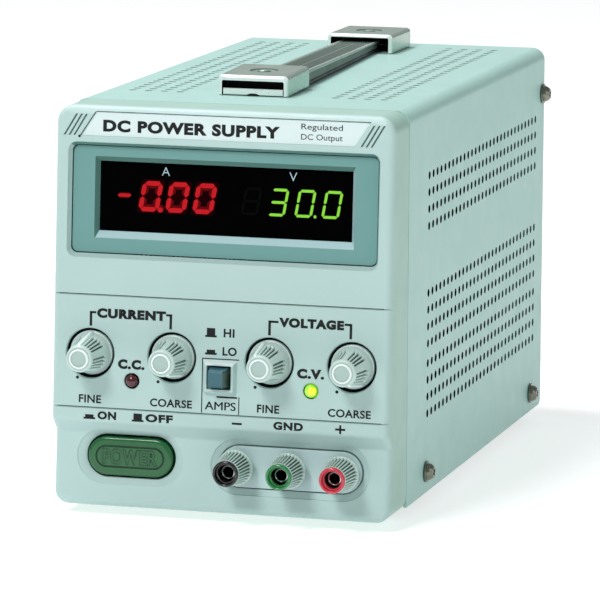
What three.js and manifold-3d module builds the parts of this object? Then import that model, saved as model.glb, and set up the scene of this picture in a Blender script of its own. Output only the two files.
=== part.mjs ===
// Bench power supply: a steel case with a moulded front bezel, two-range controls, binding posts,
// a strap handle and a rear heat sink. Millimetres, +X to the right seen from the front, -Y forward, +Z up.
import * as THREE from 'three';
import { mergeVertices } from 'three/addons/utils/BufferGeometryUtils.js';
import Module from 'manifold-3d';

const wasm = await Module();
wasm.setup();

// ---- Driving dimensions --------------------------------------------------------------------------
// Y is 0 at the seam between cover and bezel, and Z is 0 at the cover's lower edge.
const CASE_WIDTH = 128;
const CASE_HEIGHT = 146.5;
const COVER_LENGTH = 217;
const SHEET = 1.2;
const BEND_RADIUS = 5;
const GAP = 0.3;
const FOOT_HEIGHT = 5;
const FRONT_END = -40;
const REAR_END = 243;

const BEZEL_WALL = 2.6;
const BEZEL_BOTTOM = -1.4;
const FACE_LOW = { y: -27.3, z: 37.5 };
const FACE_TILT = Math.atan(0.0643);
const LOWER_FACE = { y: -24.9, z: 4 };
const LOWER_TILT = Math.atan(0.09);

const DISPLAY = { x: -0.1, low: 55, high: 94.7, width: 116.2, recess: 2.6, rim: 1.3 };
const WINDOW = { x: -0.3, low: 63, high: 88.7, width: 96, bevel: 1.6 };

const KNOB_Z = 56;
const KNOB_TIP = -39.8;
const KNOB_X = { current_fine: -49.3, current_coarse: -18, voltage_fine: 19, voltage_coarse: 50 };
const KNOB_TURN = { current_fine: 0, current_coarse: 150, voltage_fine: -19, voltage_coarse: 150 };
const WELL_RADIUS = 9.2;
const SHAFT_RADIUS = 2.95;

const LED = { z: 46.6, x: { cc: -33.1, cv: 34.9 }, radius: 2.5 };
const RANGE_BUTTON = { x: 0.5, z: 49.9, width: 8.4, height: 7.6 };
const POWER_BUTTON = { x: -34.8, z: 17.5, width: 33, height: 14.6, front: -24.2 };

const POST = { x: 26.5, z: 16.8, pitch: 20, socket: 2.05, thread: 3 };
const PLATE = { x: 26.4, z: 16.5, width: 54, height: 15.1 };

const HANDLE_X = -2.1;
const CAP = { width: 25.8, height: 7.7, length: 30, wall: 1.2, front: 25, rear: 175.5 };
const STRAP = { width: 15.6, bottom: 147.1, thickness: 4.1, frontPivot: 53.5, rearPivot: 181.9, tail: 1.2 };

const REAR_PANEL_Y = 208;
const SCREW = { head: 3.1, washer: 4, shank: 1.7, hole: 2.1, rise: 3 };
const SIDE_SCREWS = [
  { name: 'front_low', y: 28.2, z: 8.1 },
  { name: 'rear_low', y: 197.6, z: 7.6 },
  { name: 'rear_top', y: 213.2, z: 128.3 },
];
const FOOT_PLACES = { x: 48, front: 36, rear: 190 };

// ---- Looks ---------------------------------------------------------------------------------------
const LOOKS = {
  cover: { color: 0xa3c4bc, roughness: 0.55, metalness: 0 },
  bezel: { color: 0xb8d4cf, roughness: 0.5, metalness: 0 },
  teal: { color: 0x73a5a2, roughness: 0.5, metalness: 0 },
  window: { color: 0x040505, roughness: 0.1, metalness: 0 },
  knob: { color: 0xc9d6d2, roughness: 0.5, metalness: 0 },
  black: { color: 0x101110, roughness: 0.45, metalness: 0 },
  green: { color: 0x2f7a4f, roughness: 0.4, metalness: 0 },
  red: { color: 0xb02b3a, roughness: 0.4, metalness: 0 },
  blue: { color: 0x2d5560, roughness: 0.3, metalness: 0 },
  chrome: { color: 0xd4d8d6, roughness: 0.15, metalness: 1 },
  steel: { color: 0x8f9692, roughness: 0.4, metalness: 1 },
  strap: { color: 0x6f8078, roughness: 0.5, metalness: 0 },
  heatSink: { color: 0x18191a, roughness: 0.6, metalness: 0.3 },
  board: { color: 0x2c6b3c, roughness: 0.6, metalness: 0 },
  copper: { color: 0x9a5a32, roughness: 0.4, metalness: 0.8 },
  rubber: { color: 0x1c1c1c, roughness: 0.9, metalness: 0 },
  redLed: { color: 0x7a1010, roughness: 0.2, metalness: 0 },
  greenLed: { color: 0x7fe040, roughness: 0.2, metalness: 0 },
};

// ---- Geometry helpers ----------------------------------------------------------------------------
function withoutFlatTriangles(index) {
  const kept = [];
  for (let i = 0; i < index.length; i += 3) {
    const [a, b, c] = [index[i], index[i + 1], index[i + 2]];
    if (a !== b && b !== c && c !== a) kept.push(a, b, c);
  }
  return kept;
}

function signedVolume(position, index) {
  const [a, b, c] = [new THREE.Vector3(), new THREE.Vector3(), new THREE.Vector3()];
  let volume = 0;
  for (let i = 0; i < index.length; i += 3) {
    a.fromBufferAttribute(position, index[i]);
    b.fromBufferAttribute(position, index[i + 1]);
    c.fromBufferAttribute(position, index[i + 2]);
    volume += a.dot(b.cross(c)) / 6;
  }
  return volume;
}

// A closed geometry as a manifold solid with its faces pointing out.
function solid(geometry) {
  const bare = geometry.clone();
  bare.deleteAttribute('normal');
  bare.deleteAttribute('uv');
  const merged = mergeVertices(bare, 1e-4);
  const position = merged.getAttribute('position');
  let triangles = withoutFlatTriangles(merged.index.array);
  if (signedVolume(position, triangles) < 0) triangles = triangles.reverse();
  const vertProperties = Float32Array.from(position.array);
  const triVerts = Uint32Array.from(triangles);
  return new wasm.Manifold(new wasm.Mesh({ numProp: 3, vertProperties, triVerts }));
}

function geometryOf(manifold) {
  const mesh = manifold.getMesh();
  const geometry = new THREE.BufferGeometry();
  geometry.setAttribute('position', new THREE.BufferAttribute(mesh.vertProperties, 3));
  geometry.setIndex(new THREE.BufferAttribute(mesh.triVerts, 1));
  geometry.computeVertexNormals();
  return geometry;
}

function join(first, ...others) {
  return geometryOf(others.reduce((sum, piece) => sum.add(solid(piece)), solid(first)));
}

function cut(body, ...cutters) {
  return geometryOf(cutters.reduce((rest, cutter) => rest.subtract(solid(cutter)), solid(body)));
}

function common(first, second) {
  return geometryOf(solid(first).intersect(solid(second)));
}

function block([x0, x1], [y0, y1], [z0, z1]) {
  const box = new THREE.BoxGeometry(x1 - x0, y1 - y0, z1 - z0);
  return box.translate((x0 + x1) / 2, (y0 + y1) / 2, (z0 + z1) / 2);
}

function rodY(radius, [y0, y1], x, z, segments = 24) {
  const rod = new THREE.CylinderGeometry(radius, radius, y1 - y0, segments);
  return rod.translate(x, (y0 + y1) / 2, z);
}

function rodZ(radius, [z0, z1], x, y, segments = 24) {
  const rod = new THREE.CylinderGeometry(radius, radius, z1 - z0, segments).rotateX(Math.PI / 2);
  return rod.translate(x, y, (z0 + z1) / 2);
}

function rodX(radius, [x0, x1], y, z, segments = 16) {
  const rod = new THREE.CylinderGeometry(radius, radius, x1 - x0, segments).rotateZ(Math.PI / 2);
  return rod.translate((x0 + x1) / 2, y, z);
}

// A solid turned about a line along Y. The profile lists [radius, y].
function turned(profile, segments = 24) {
  return new THREE.LatheGeometry(profile.map(([radius, y]) => new THREE.Vector2(radius, y)), segments);
}

// A rectangle whose two lower and two upper corners have a radius each; 0 leaves them square.
function roundedOutline([u0, u1], [v0, v1], [lowRadius, highRadius]) {
  const shape = new THREE.Shape();
  const quarter = Math.PI / 2;
  const corners = [
    [u1, v0, -1, 1, lowRadius, 3 * quarter],
    [u1, v1, -1, -1, highRadius, 0],
    [u0, v1, 1, -1, highRadius, quarter],
    [u0, v0, 1, 1, lowRadius, 2 * quarter],
  ];
  shape.moveTo(u0 + lowRadius, v0);
  for (const [u, v, inU, inV, radius, start] of corners) {
    if (radius === 0) shape.lineTo(u, v);
    else shape.absarc(u + inU * radius, v + inV * radius, radius, start, start + quarter);
  }
  return shape;
}

// A pill-shaped outline, as wide as given, with full round ends.
function stadium(x, z, width, height) {
  const radius = height / 2 - 0.01;
  const across = [x - width / 2, x + width / 2];
  return roundedOutline(across, [z - height / 2, z + height / 2], [radius, radius]);
}

// An outline in X and Z, extruded along Y.
function prismY(shape, [y0, y1], curveSegments = 6) {
  const prism = new THREE.ExtrudeGeometry(shape, { depth: y1 - y0, bevelEnabled: false, curveSegments });
  return prism.rotateX(Math.PI / 2).translate(0, y1, 0);
}

// An outline in Y and Z, extruded along X.
function prismX(shape, [x0, x1], curveSegments = 6) {
  const prism = new THREE.ExtrudeGeometry(shape, { depth: x1 - x0, bevelEnabled: false, curveSegments });
  const axes = new THREE.Matrix4().makeBasis(
    new THREE.Vector3(0, 1, 0),
    new THREE.Vector3(0, 0, 1),
    new THREE.Vector3(1, 0, 0),
  );
  return prism.applyMatrix4(axes).translate(x0, 0, 0);
}

// Places a shape drawn with Y as depth behind a leaning face and Z up along that face.
function onFace(geometry, face = FACE_LOW, tilt = FACE_TILT) {
  return geometry.rotateX(-tilt).translate(0, face.y, face.z);
}

function onLowerFace(geometry) {
  return onFace(geometry, LOWER_FACE, LOWER_TILT);
}

function faceY(z) {
  return FACE_LOW.y + Math.tan(FACE_TILT) * (z - FACE_LOW.z);
}

function alongLowerFace(z) {
  return (z - LOWER_FACE.z) / Math.cos(LOWER_TILT);
}

// ---- The assembly --------------------------------------------------------------------------------
const assembly = new THREE.Group();
assembly.position.set(0, -(FRONT_END + REAR_END) / 2, FOOT_HEIGHT);

function addNode(name, geometry, look, parent = assembly) {
  const material = new THREE.MeshStandardMaterial(LOOKS[look]);
  const mesh = new THREE.Mesh(geometryOf(solid(geometry)), material);
  mesh.name = name;
  parent.add(mesh);
  return mesh;
}

const HALF = CASE_WIDTH / 2;
const INSIDE = HALF - SHEET - GAP;

// ---- Case ----------------------------------------------------------------------------------------
function sideScrewHoles([x0, x1]) {
  return SIDE_SCREWS.flatMap(({ y, z }) => [
    rodX(SCREW.hole, [x0, x1], y, z),
    rodX(SCREW.hole, [-x1, -x0], y, z),
  ]);
}

function coverShell() {
  const outer = roundedOutline([-HALF, HALF], [0, CASE_HEIGHT], [0, BEND_RADIUS]);
  const hollow = roundedOutline(
    [-HALF + SHEET, HALF - SHEET],
    [-5, CASE_HEIGHT - SHEET],
    [0, BEND_RADIUS - SHEET],
  );
  const shell = cut(prismY(outer, [0.4, COVER_LENGTH]), prismY(hollow, [-5, COVER_LENGTH + 5]));
  return cut(shell, ...sideScrewHoles([HALF - 5, HALF + 5]));
}

function basePan() {
  const floor = block([-INSIDE, INSIDE], [6, 210], [0.6, 2.1]);
  const flanges = [-1, 1].map((side) => {
    const edges = [side * INSIDE, side * (INSIDE - SHEET)].sort((a, b) => a - b);
    return block(edges, [6, 207.7], [1.5, 14]);
  });
  const rearFlange = block([-INSIDE + 1, INSIDE - 1], [206.2, 207.7], [1.5, 7]);
  const standoffs = [-50, 50].flatMap((x) => [28, 98].map((y) => rodZ(3, [1.5, 13.7], x, y, 12)));
  return cut(join(floor, ...flanges, rearFlange, ...standoffs), ...sideScrewHoles([HALF - 5, HALF + 5]));
}

function rearPanel() {
  const outer = roundedOutline([-INSIDE, INSIDE], [2.4, 144.9], [0.5, 4.5]);
  const plate = prismY(outer, [REAR_PANEL_Y, REAR_PANEL_Y + 1.5]);
  const flanges = [-1, 1].map((side) => {
    const edges = [side * INSIDE, side * (INSIDE - SHEET)].sort((a, b) => a - b);
    return block(edges, [REAR_PANEL_Y, COVER_LENGTH - 0.5], [18, 138]);
  });
  const inletHole = block([-47.3, -2.7], [200, 215], [10.7, 35.3]);
  const selectorHole = block([20, 40], [200, 215], [17, 29]);
  return cut(join(plate, ...flanges), inletHole, selectorHole, ...sideScrewHoles([HALF - 5, HALF + 5]));
}

function foot() {
  return turned([[0, -FOOT_HEIGHT], [7, -FOOT_HEIGHT], [8, 0.3], [0, 0.3]], 20).rotateX(Math.PI / 2);
}

function sideScrew(side) {
  const seat = HALF + GAP;
  const profile = [
    [0, HALF - 4],
    [SCREW.shank, HALF - 4],
    [SCREW.shank, seat],
    [SCREW.washer, seat],
    [SCREW.washer, seat + 0.6],
    [SCREW.head, seat + 0.7],
    [SCREW.head * 0.85, seat + SCREW.rise - 0.8],
    [SCREW.head * 0.5, seat + SCREW.rise],
    [0, seat + SCREW.rise],
  ];
  const body = turned(profile, 16);
  const slots = [block([-2, 2], [0, 20], [-0.5, 0.5]), block([-0.5, 0.5], [0, 20], [-2, 2])];
  slots.forEach((slot) => slot.translate(0, seat + SCREW.rise - 1, 0));
  return cut(body, ...slots).rotateZ((-side * Math.PI) / 2);
}

addNode('cover', coverShell(), 'cover');
addNode('base_pan', basePan(), 'steel');
addNode('rear_panel', rearPanel(), 'cover');
for (const side of [-1, 1]) {
  const sideName = side < 0 ? 'left' : 'right';
  for (const end of ['front', 'rear']) {
    const rubberFoot = addNode(`foot_${end}_${sideName}`, foot(), 'rubber');
    rubberFoot.position.set(side * FOOT_PLACES.x, FOOT_PLACES[end], 0);
  }
  for (const { name, y, z } of SIDE_SCREWS) {
    addNode(`cover_screw_${name}_${sideName}`, sideScrew(side), 'chrome').position.set(0, y, z);
  }
}

// ---- Bezel ---------------------------------------------------------------------------------------
// The bezel's outline seen from the side: a flat top, a face that leans back, a strip that stands
// proud, and a lower face set back under it.
function bezelProfile(inset, back) {
  const top = CASE_HEIGHT - inset;
  const bottom = BEZEL_BOTTOM + inset;
  const shape = new THREE.Shape();
  shape.moveTo(back, top);
  shape.lineTo(-16.5, top);
  shape.quadraticCurveTo(faceY(145) + inset, top, faceY(142) + inset, 142 - inset / 2);
  shape.lineTo(faceY(33) + inset, 33);
  shape.quadraticCurveTo(-27.6 + inset, 30, -26.2 + inset, 29.3);
  shape.lineTo(-23 + inset, 25);
  shape.lineTo(LOWER_FACE.y + inset, LOWER_FACE.z);
  shape.quadraticCurveTo(LOWER_FACE.y + inset, bottom, -21 + inset, bottom);
  shape.lineTo(back, bottom);
  shape.closePath();
  return shape;
}

function knobWell(x) {
  return {
    boss: rodY(WELL_RADIUS + 2, [-25, -20.6], x, KNOB_Z),
    hollow: rodY(WELL_RADIUS, [-32, -22.6], x, KNOB_Z),
    bushingHole: rodY(3.9, [-30, -18], x, KNOB_Z, 16),
  };
}

// A four-sided frustum between two rectangles that lie across Y.
function taperedBlock(front, back, [y0, y1]) {
  const corners = [];
  for (const [{ width, height, x = 0, z = 0 }, y] of [[front, y0], [back, y1]]) {
    for (const [u, v] of [[-1, -1], [1, -1], [1, 1], [-1, 1]]) {
      corners.push(x + (u * width) / 2, y, z + (v * height) / 2);
    }
  }
  const faces = [0, 1, 2, 0, 2, 3, 4, 6, 5, 4, 7, 6];
  for (let i = 0; i < 4; i += 1) {
    const j = (i + 1) % 4;
    faces.push(i, i + 4, j, j, i + 4, j + 4);
  }
  const geometry = new THREE.BufferGeometry();
  geometry.setAttribute('position', new THREE.Float32BufferAttribute(corners, 3));
  geometry.setIndex(faces);
  return geometry;
}

function frontBezel() {
  const outline = roundedOutline([-HALF, HALF], [BEZEL_BOTTOM, CASE_HEIGHT], [5.5, 6.5]);
  const body = common(prismX(bezelProfile(0, 0), [-HALF, HALF]), prismY(outline, [-40, 5]));
  const hollowHalf = HALF - BEZEL_WALL;
  const hollow = prismX(bezelProfile(BEZEL_WALL, 10), [-hollowHalf, hollowHalf]);
  const lipOutline = roundedOutline([-INSIDE, INSIDE], [0.3, 144.9], [2, 3.6]);
  const lip = prismY(lipOutline, [-1, 5]);
  const lipHollow = block([-INSIDE + 1.6, INSIDE - 1.6], [-10, 10], [1.9, 143.3]);
  const shell = join(cut(body, hollow), cut(lip, lipHollow));

  const { x, low, high, width, recess, rim } = DISPLAY;
  const middle = (low + high) / 2;
  const opening = { x, z: middle, width, height: high - low };
  const mouth = { x, z: middle, width: width + 2 * rim, height: high - low + 2 * rim };
  const displayHole = onFace(block([x - width / 2, x + width / 2], [-2, 12], [low, high]));
  const displayMouth = onFace(taperedBlock(mouth, opening, [-0.01, recess]));

  const wells = Object.values(KNOB_X).map(knobWell);
  const ledHoles = Object.values(LED.x).map((ledX) => rodY(LED.radius + 0.4, [-32, -18], ledX, LED.z, 16));
  const guardZ = (RANGE_BUTTON.z - FACE_LOW.z) / Math.cos(FACE_TILT);
  const guardFront = { x: RANGE_BUTTON.x, z: guardZ, width: 11, height: 10.6 };
  const guardFoot = { x: RANGE_BUTTON.x, z: guardZ, width: 12.8, height: 12.2 };
  const guard = onFace(taperedBlock(guardFront, guardFoot, [-1.8, 0.5]));
  const rangeHoleX = [RANGE_BUTTON.x - 4.6, RANGE_BUTTON.x + 4.6];
  const rangeHole = block(rangeHoleX, [-40, -15], [RANGE_BUTTON.z - 4.2, RANGE_BUTTON.z + 4.2]);
  const buttonSize = [POWER_BUTTON.width + 1, POWER_BUTTON.height + 1];
  const buttonHole = prismY(stadium(POWER_BUTTON.x, POWER_BUTTON.z, ...buttonSize), [-40, -10]);
  const plateHole = prismY(stadium(PLATE.x, PLATE.z, PLATE.width + 1, PLATE.height + 1), [-40, -10]);

  return cut(
    join(shell, ...wells.map((well) => well.boss), guard),
    displayHole,
    displayMouth,
    ...wells.flatMap((well) => [well.hollow, well.bushingHole]),
    ...ledHoles,
    rangeHole,
    buttonHole,
    plateHole,
  );
}

addNode('front_bezel', frontBezel(), 'bezel');

// ---- Display -------------------------------------------------------------------------------------
function displayFrame() {
  const { x, low, high, width, recess } = DISPLAY;
  const [front, back] = [recess + GAP, recess + 3.4];
  const plate = block([x - width / 2 - 2, x + width / 2 + 2], [front, back], [low - 2, high + 2]);
  const middle = (WINDOW.low + WINDOW.high) / 2;
  const hole = { x: WINDOW.x, z: middle, width: WINDOW.width, height: WINDOW.high - WINDOW.low };
  const mouth = { ...hole, width: hole.width + 2 * WINDOW.bevel, height: hole.height + 2.4 * WINDOW.bevel };
  return onFace(cut(plate, taperedBlock(mouth, hole, [front - 0.01, back + 0.01])));
}

function displayBlock(margin, depth) {
  const across = [WINDOW.x - WINDOW.width / 2 - margin, WINDOW.x + WINDOW.width / 2 + margin];
  return block(across, depth, [WINDOW.low - margin, WINDOW.high + margin]);
}

addNode('display_frame', displayFrame(), 'teal');
addNode('display_window', onFace(displayBlock(2, [6.3, 8.3])), 'window');
addNode('display_module', onFace(join(displayBlock(0, [8.6, 15]), displayBlock(4, [14, 15.6]))), 'board');

// ---- Controls ------------------------------------------------------------------------------------
function potentiometer() {
  const body = join(rodY(8, [-20.2, -10.2], 0, 0), rodY(3.55, [-22.3, -19], 0, 0, 16));
  return cut(body, rodY(SHAFT_RADIUS + GAP, [-30, -11], 0, 0, 16));
}

function knob() {
  const profile = [
    [0, -11.6],
    [SHAFT_RADIUS, -11.6],
    [SHAFT_RADIUS, -23],
    [8.3, -23],
    [8.3, -27.2],
    [7.3, -28],
    [6.6, -29.2],
    [4.9, -38],
    [4.2, KNOB_TIP + 0.3],
    [3.4, KNOB_TIP],
    [0, KNOB_TIP],
  ];
  const pointer = taperedBlock(
    { width: 1.6, height: 1.4, z: 4.3 },
    { width: 1.8, height: 2.6, z: 6.2 },
    [KNOB_TIP + 0.6, -28.5],
  );
  return join(turned(profile.reverse(), 20), pointer);
}

function led() {
  return turned([
    [0, -22.7],
    [3.3, -22.7],
    [3.3, -23.7],
    [LED.radius, -23.8],
    [LED.radius, -26.8],
    [LED.radius * 0.7, -27.9],
    [0, -28.4],
  ].reverse(), 16);
}

for (const [name, x] of Object.entries(KNOB_X)) {
  addNode(`${name}_potentiometer`, potentiometer(), 'black').position.set(x, 0, KNOB_Z);
  const turnedKnob = addNode(`${name}_knob`, knob(), 'knob');
  turnedKnob.position.set(x, 0, KNOB_Z);
  turnedKnob.rotation.y = THREE.MathUtils.degToRad(KNOB_TURN[name]);
}
addNode('cc_led', led(), 'redLed').position.set(LED.x.cc, 0, LED.z);
addNode('cv_led', led(), 'greenLed').position.set(LED.x.cv, 0, LED.z);

function rangeButton() {
  const { width, height, x, z } = RANGE_BUTTON;
  const cap = taperedBlock({ width: 5.8, height: 6, z: 0 }, { width, height, z: 0 }, [-32.3, -25.6]);
  const skirt = block([-width / 2, width / 2], [-25.7, -20], [-height / 2, height / 2]);
  const stem = block([-2, 2], [-21, -12], [-2, 2]);
  return join(cap, skirt, stem).translate(x, 0, z);
}

function switchBody([x0, x1], [y0, y1], z, halfHeight) {
  const middle = (x0 + x1) / 2;
  const body = block([x0, x1], [y0, y1], [z - halfHeight, z + halfHeight]);
  const socket = block([middle - 2.5, middle + 2.5], [y0 - 1, y0 + 10], [z - 2.5, z + 2.5]);
  return cut(body, socket);
}

function powerButton() {
  const { x, z, width, height, front } = POWER_BUTTON;
  const cap = prismY(stadium(x, z, width, height), [front, -14]);
  return join(cap, block([x - 2, x + 2], [-15, -2], [z - 2, z + 2]));
}

addNode('range_button', rangeButton(), 'blue');
const rangeSwitchX = [RANGE_BUTTON.x - 7, RANGE_BUTTON.x + 7];
addNode('range_switch', switchBody(rangeSwitchX, [-16, 2], RANGE_BUTTON.z, 6.5), 'black');
addNode('power_button', powerButton(), 'green');
const powerSwitchX = [POWER_BUTTON.x - 7, POWER_BUTTON.x + 7];
addNode('power_switch', switchBody(powerSwitchX, [-7, 16], POWER_BUTTON.z, 6), 'black');

// ---- Output terminals ----------------------------------------------------------------------------
function terminalPlate() {
  const z = alongLowerFace(PLATE.z);
  const front = onLowerFace(prismY(stadium(PLATE.x, z, PLATE.width, PLATE.height), [0.6, 3.2]));
  const flange = onLowerFace(prismY(stadium(PLATE.x, z, PLATE.width + 5, PLATE.height + 5), [3, 5]));
  const holes = [-1, 0, 1].map((i) => rodY(POST.thread + 0.4, [-40, -10], POST.x + i * POST.pitch, POST.z));
  return cut(join(front, flange), ...holes);
}

function postStud() {
  const profile = [
    [POST.socket, -39.3],
    [POST.socket, -24],
    [0, -23],
    [0, -10],
    [POST.thread, -10],
    [POST.thread, -14.3],
    [4.4, -14.3],
    [4.4, -17.6],
    [POST.thread, -17.6],
    [POST.thread, -23.9],
    [5.4, -23.9],
    [5.4, -24.9],
    [POST.thread, -24.9],
    [POST.thread, -37.6],
    [2.4, -37.7],
    [2.4, -39.3],
    [POST.socket, -39.3],
  ];
  return turned(profile, 20);
}

function ringY([inner, outer], [y0, y1], segments = 20) {
  return turned([[inner, y0], [outer, y0], [outer, y1], [inner, y1], [inner, y0]], segments);
}

function postCap() {
  const bore = POST.thread + GAP;
  return turned([
    [bore, -26.5],
    [5.9, -26.5],
    [5.9, -28],
    [5.1, -30],
    [4.8, -38.3],
    [bore, -38.3],
    [bore, -26.5],
  ], 20);
}

const POST_COLOURS = { negative: 'black', ground: 'green', positive: 'red' };
Object.entries(POST_COLOURS).forEach(([name, look], i) => {
  const place = [POST.x + (i - 1) * POST.pitch, 0, POST.z];
  addNode(`${name}_post_stud`, postStud(), 'chrome').position.set(...place);
  addNode(`${name}_post_washer`, ringY([3.3, 5.2], [-26.2, -25.2]), 'chrome').position.set(...place);
  addNode(`${name}_post_cap`, postCap(), 'knob').position.set(...place);
  addNode(`${name}_post_ring`, ringY([2.75, 4.8], [FRONT_END, -38.6]), look).position.set(...place);
});
addNode('terminal_plate', terminalPlate(), 'bezel');

// ---- Handle --------------------------------------------------------------------------------------
function handleCap() {
  const { width, height, length, wall } = CAP;
  const base = CASE_HEIGHT + GAP;
  const top = CASE_HEIGHT + height;
  const outer = roundedOutline([-width / 2, width / 2], [base, top], [0, 1.8]);
  const hollow = block([-width / 2 + wall, width / 2 - wall], [-5, length + 5], [base - 5, top - wall]);
  return cut(prismY(outer, [0, length]), hollow);
}

// The bracket under a cap: a plate with an upturned lip at its outer end and a rivet to the cap.
function strapAnchor() {
  const half = CAP.width / 2 - CAP.wall - GAP;
  const [low, high] = [CASE_HEIGHT + GAP, CASE_HEIGHT + GAP + 1];
  const plate = block([-half, half], [0.3, CAP.length - 11], [low, high]);
  const lip = block([-half, half], [0.3, 1.5], [low, 149.2]);
  const rivet = rodZ(2.2, [low, CASE_HEIGHT + CAP.height - CAP.wall - GAP], 0, CAP.length / 2, 12);
  return join(plate, lip, rivet);
}

function strapHalf(span) {
  const across = [HANDLE_X - STRAP.width / 2, HANDLE_X + STRAP.width / 2];
  return block(across, span, [STRAP.bottom, STRAP.bottom + STRAP.thickness]);
}

const strapMiddle = (STRAP.frontPivot + STRAP.rearPivot) / 2;
for (const end of ['front', 'rear']) {
  const cap = addNode(`${end}_handle_cap`, handleCap(), 'chrome');
  const anchor = addNode(`${end}_strap_anchor`, strapAnchor(), 'steel');
  cap.position.set(HANDLE_X, CAP[end], 0);
  anchor.position.set(HANDLE_X, end === 'front' ? CAP.front : CAP.rear + CAP.length, 0);
  anchor.rotation.z = end === 'front' ? 0 : Math.PI;
}
addNode('handle_strap_front', strapHalf([STRAP.frontPivot - STRAP.tail, strapMiddle - GAP]), 'strap');
addNode('handle_strap_rear', strapHalf([strapMiddle + GAP, STRAP.rearPivot + STRAP.tail]), 'strap');

// ---- Power electronics ---------------------------------------------------------------------------
function transformerCore() {
  const core = block([-38, 38], [120, 160], [2.4, 66.4]);
  return cut(core, block([-25, -12], [110, 170], [15.4, 53.4]), block([12, 25], [110, 170], [15.4, 53.4]));
}

function transformerWinding() {
  const coil = block([-24.7, 24.7], [108, 172], [15.7, 53.1]);
  return cut(coil, block([-12.3, 12.3], [119.7, 160.3], [10, 60]));
}

function capacitor() {
  const profile = [[0, 15.9], [17.5, 15.9], [17.5, 64], [16.5, 66], [0, 66]];
  return turned(profile, 24).rotateX(Math.PI / 2);
}

function powerTransistor() {
  const flange = block([-19, 19], [206.2, 207.6], [-9, 9]);
  return join(flange, rodY(10.5, [199.5, 206.5], 0, 0));
}

addNode('transformer_core', transformerCore(), 'steel');
addNode('transformer_winding', transformerWinding(), 'copper');
addNode('main_board', block([-57, 57], [22, 104], [14, 15.6]), 'board');
addNode('filter_capacitor', capacitor(), 'black').position.set(-30, 62, 0);
addNode('power_transistor', powerTransistor(), 'steel').position.set(0, 0, 95);

// ---- Rear ----------------------------------------------------------------------------------------
const OUTSIDE = REAR_PANEL_Y + 1.5 + GAP;

function heatSink() {
  const base = block([-57, 57], [OUTSIDE, OUTSIDE + 6], [46, 142]);
  const count = 13;
  const fins = Array.from({ length: count }, (_, i) => {
    const x = -56 + (i * 112) / (count - 1);
    return block([x - 1, x + 1], [OUTSIDE + 5, REAR_END], [46, 142]);
  });
  return join(base, ...fins);
}

const INLET = { x: [-50, 0], z: [8.5, 37.5], socketX: [-46, -21.6], socketZ: [14.7, 31.3] };
const FUSE = { x: [-17, -5], z: [13, 33] };

function powerInlet() {
  const flange = block(INLET.x, [OUTSIDE, OUTSIDE + 3], INLET.z);
  const body = block([-47, -3], [188, OUTSIDE + 1], [11, 35]);
  const socket = block(INLET.socketX, [196, OUTSIDE + 10], INLET.socketZ);
  const fusePocket = block([FUSE.x[0] - GAP, FUSE.x[1] + GAP], [190, 230], [FUSE.z[0] - GAP, FUSE.z[1] + GAP]);
  const middle = (INLET.socketX[0] + INLET.socketX[1]) / 2;
  const pins = [[-7, 21], [0, 25], [7, 21]].map(([dx, z]) => {
    return block([middle + dx - 1, middle + dx + 1], [195, 206.5], [z - 2, z + 2]);
  });
  return join(cut(join(flange, body), socket, fusePocket), ...pins);
}

function fuseDrawer() {
  const drawer = block(FUSE.x, [192, OUTSIDE + 3], FUSE.z);
  const pull = block([FUSE.x[0] + 3, FUSE.x[1] - 3], [OUTSIDE + 3, OUTSIDE + 4.5], [15, 18]);
  return join(drawer, pull);
}

function voltageSelector() {
  const flange = block([14, 46], [OUTSIDE, OUTSIDE + 1.2], [15, 31]);
  const body = block([20.5, 39.5], [198, OUTSIDE + 1], [17.5, 28.5]);
  const window = block([23, 37], [203, OUTSIDE + 5], [20, 26]);
  return cut(join(flange, body), window);
}

addNode('heat_sink', heatSink(), 'heatSink');
addNode('power_inlet', powerInlet(), 'black');
addNode('fuse_drawer', fuseDrawer(), 'black');
addNode('voltage_selector', voltageSelector(), 'black');
addNode('selector_slide', block([23.5, 31], [204, OUTSIDE + 1.8], [20.5, 25.5]), 'red');

const powerSupply = new THREE.Group();
powerSupply.add(assembly);
export default powerSupply;
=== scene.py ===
import math
from bisect import bisect_right

import bmesh
import bpy
from mathutils import Matrix, Vector
from mathutils.geometry import delaunay_2d_cdt


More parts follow.
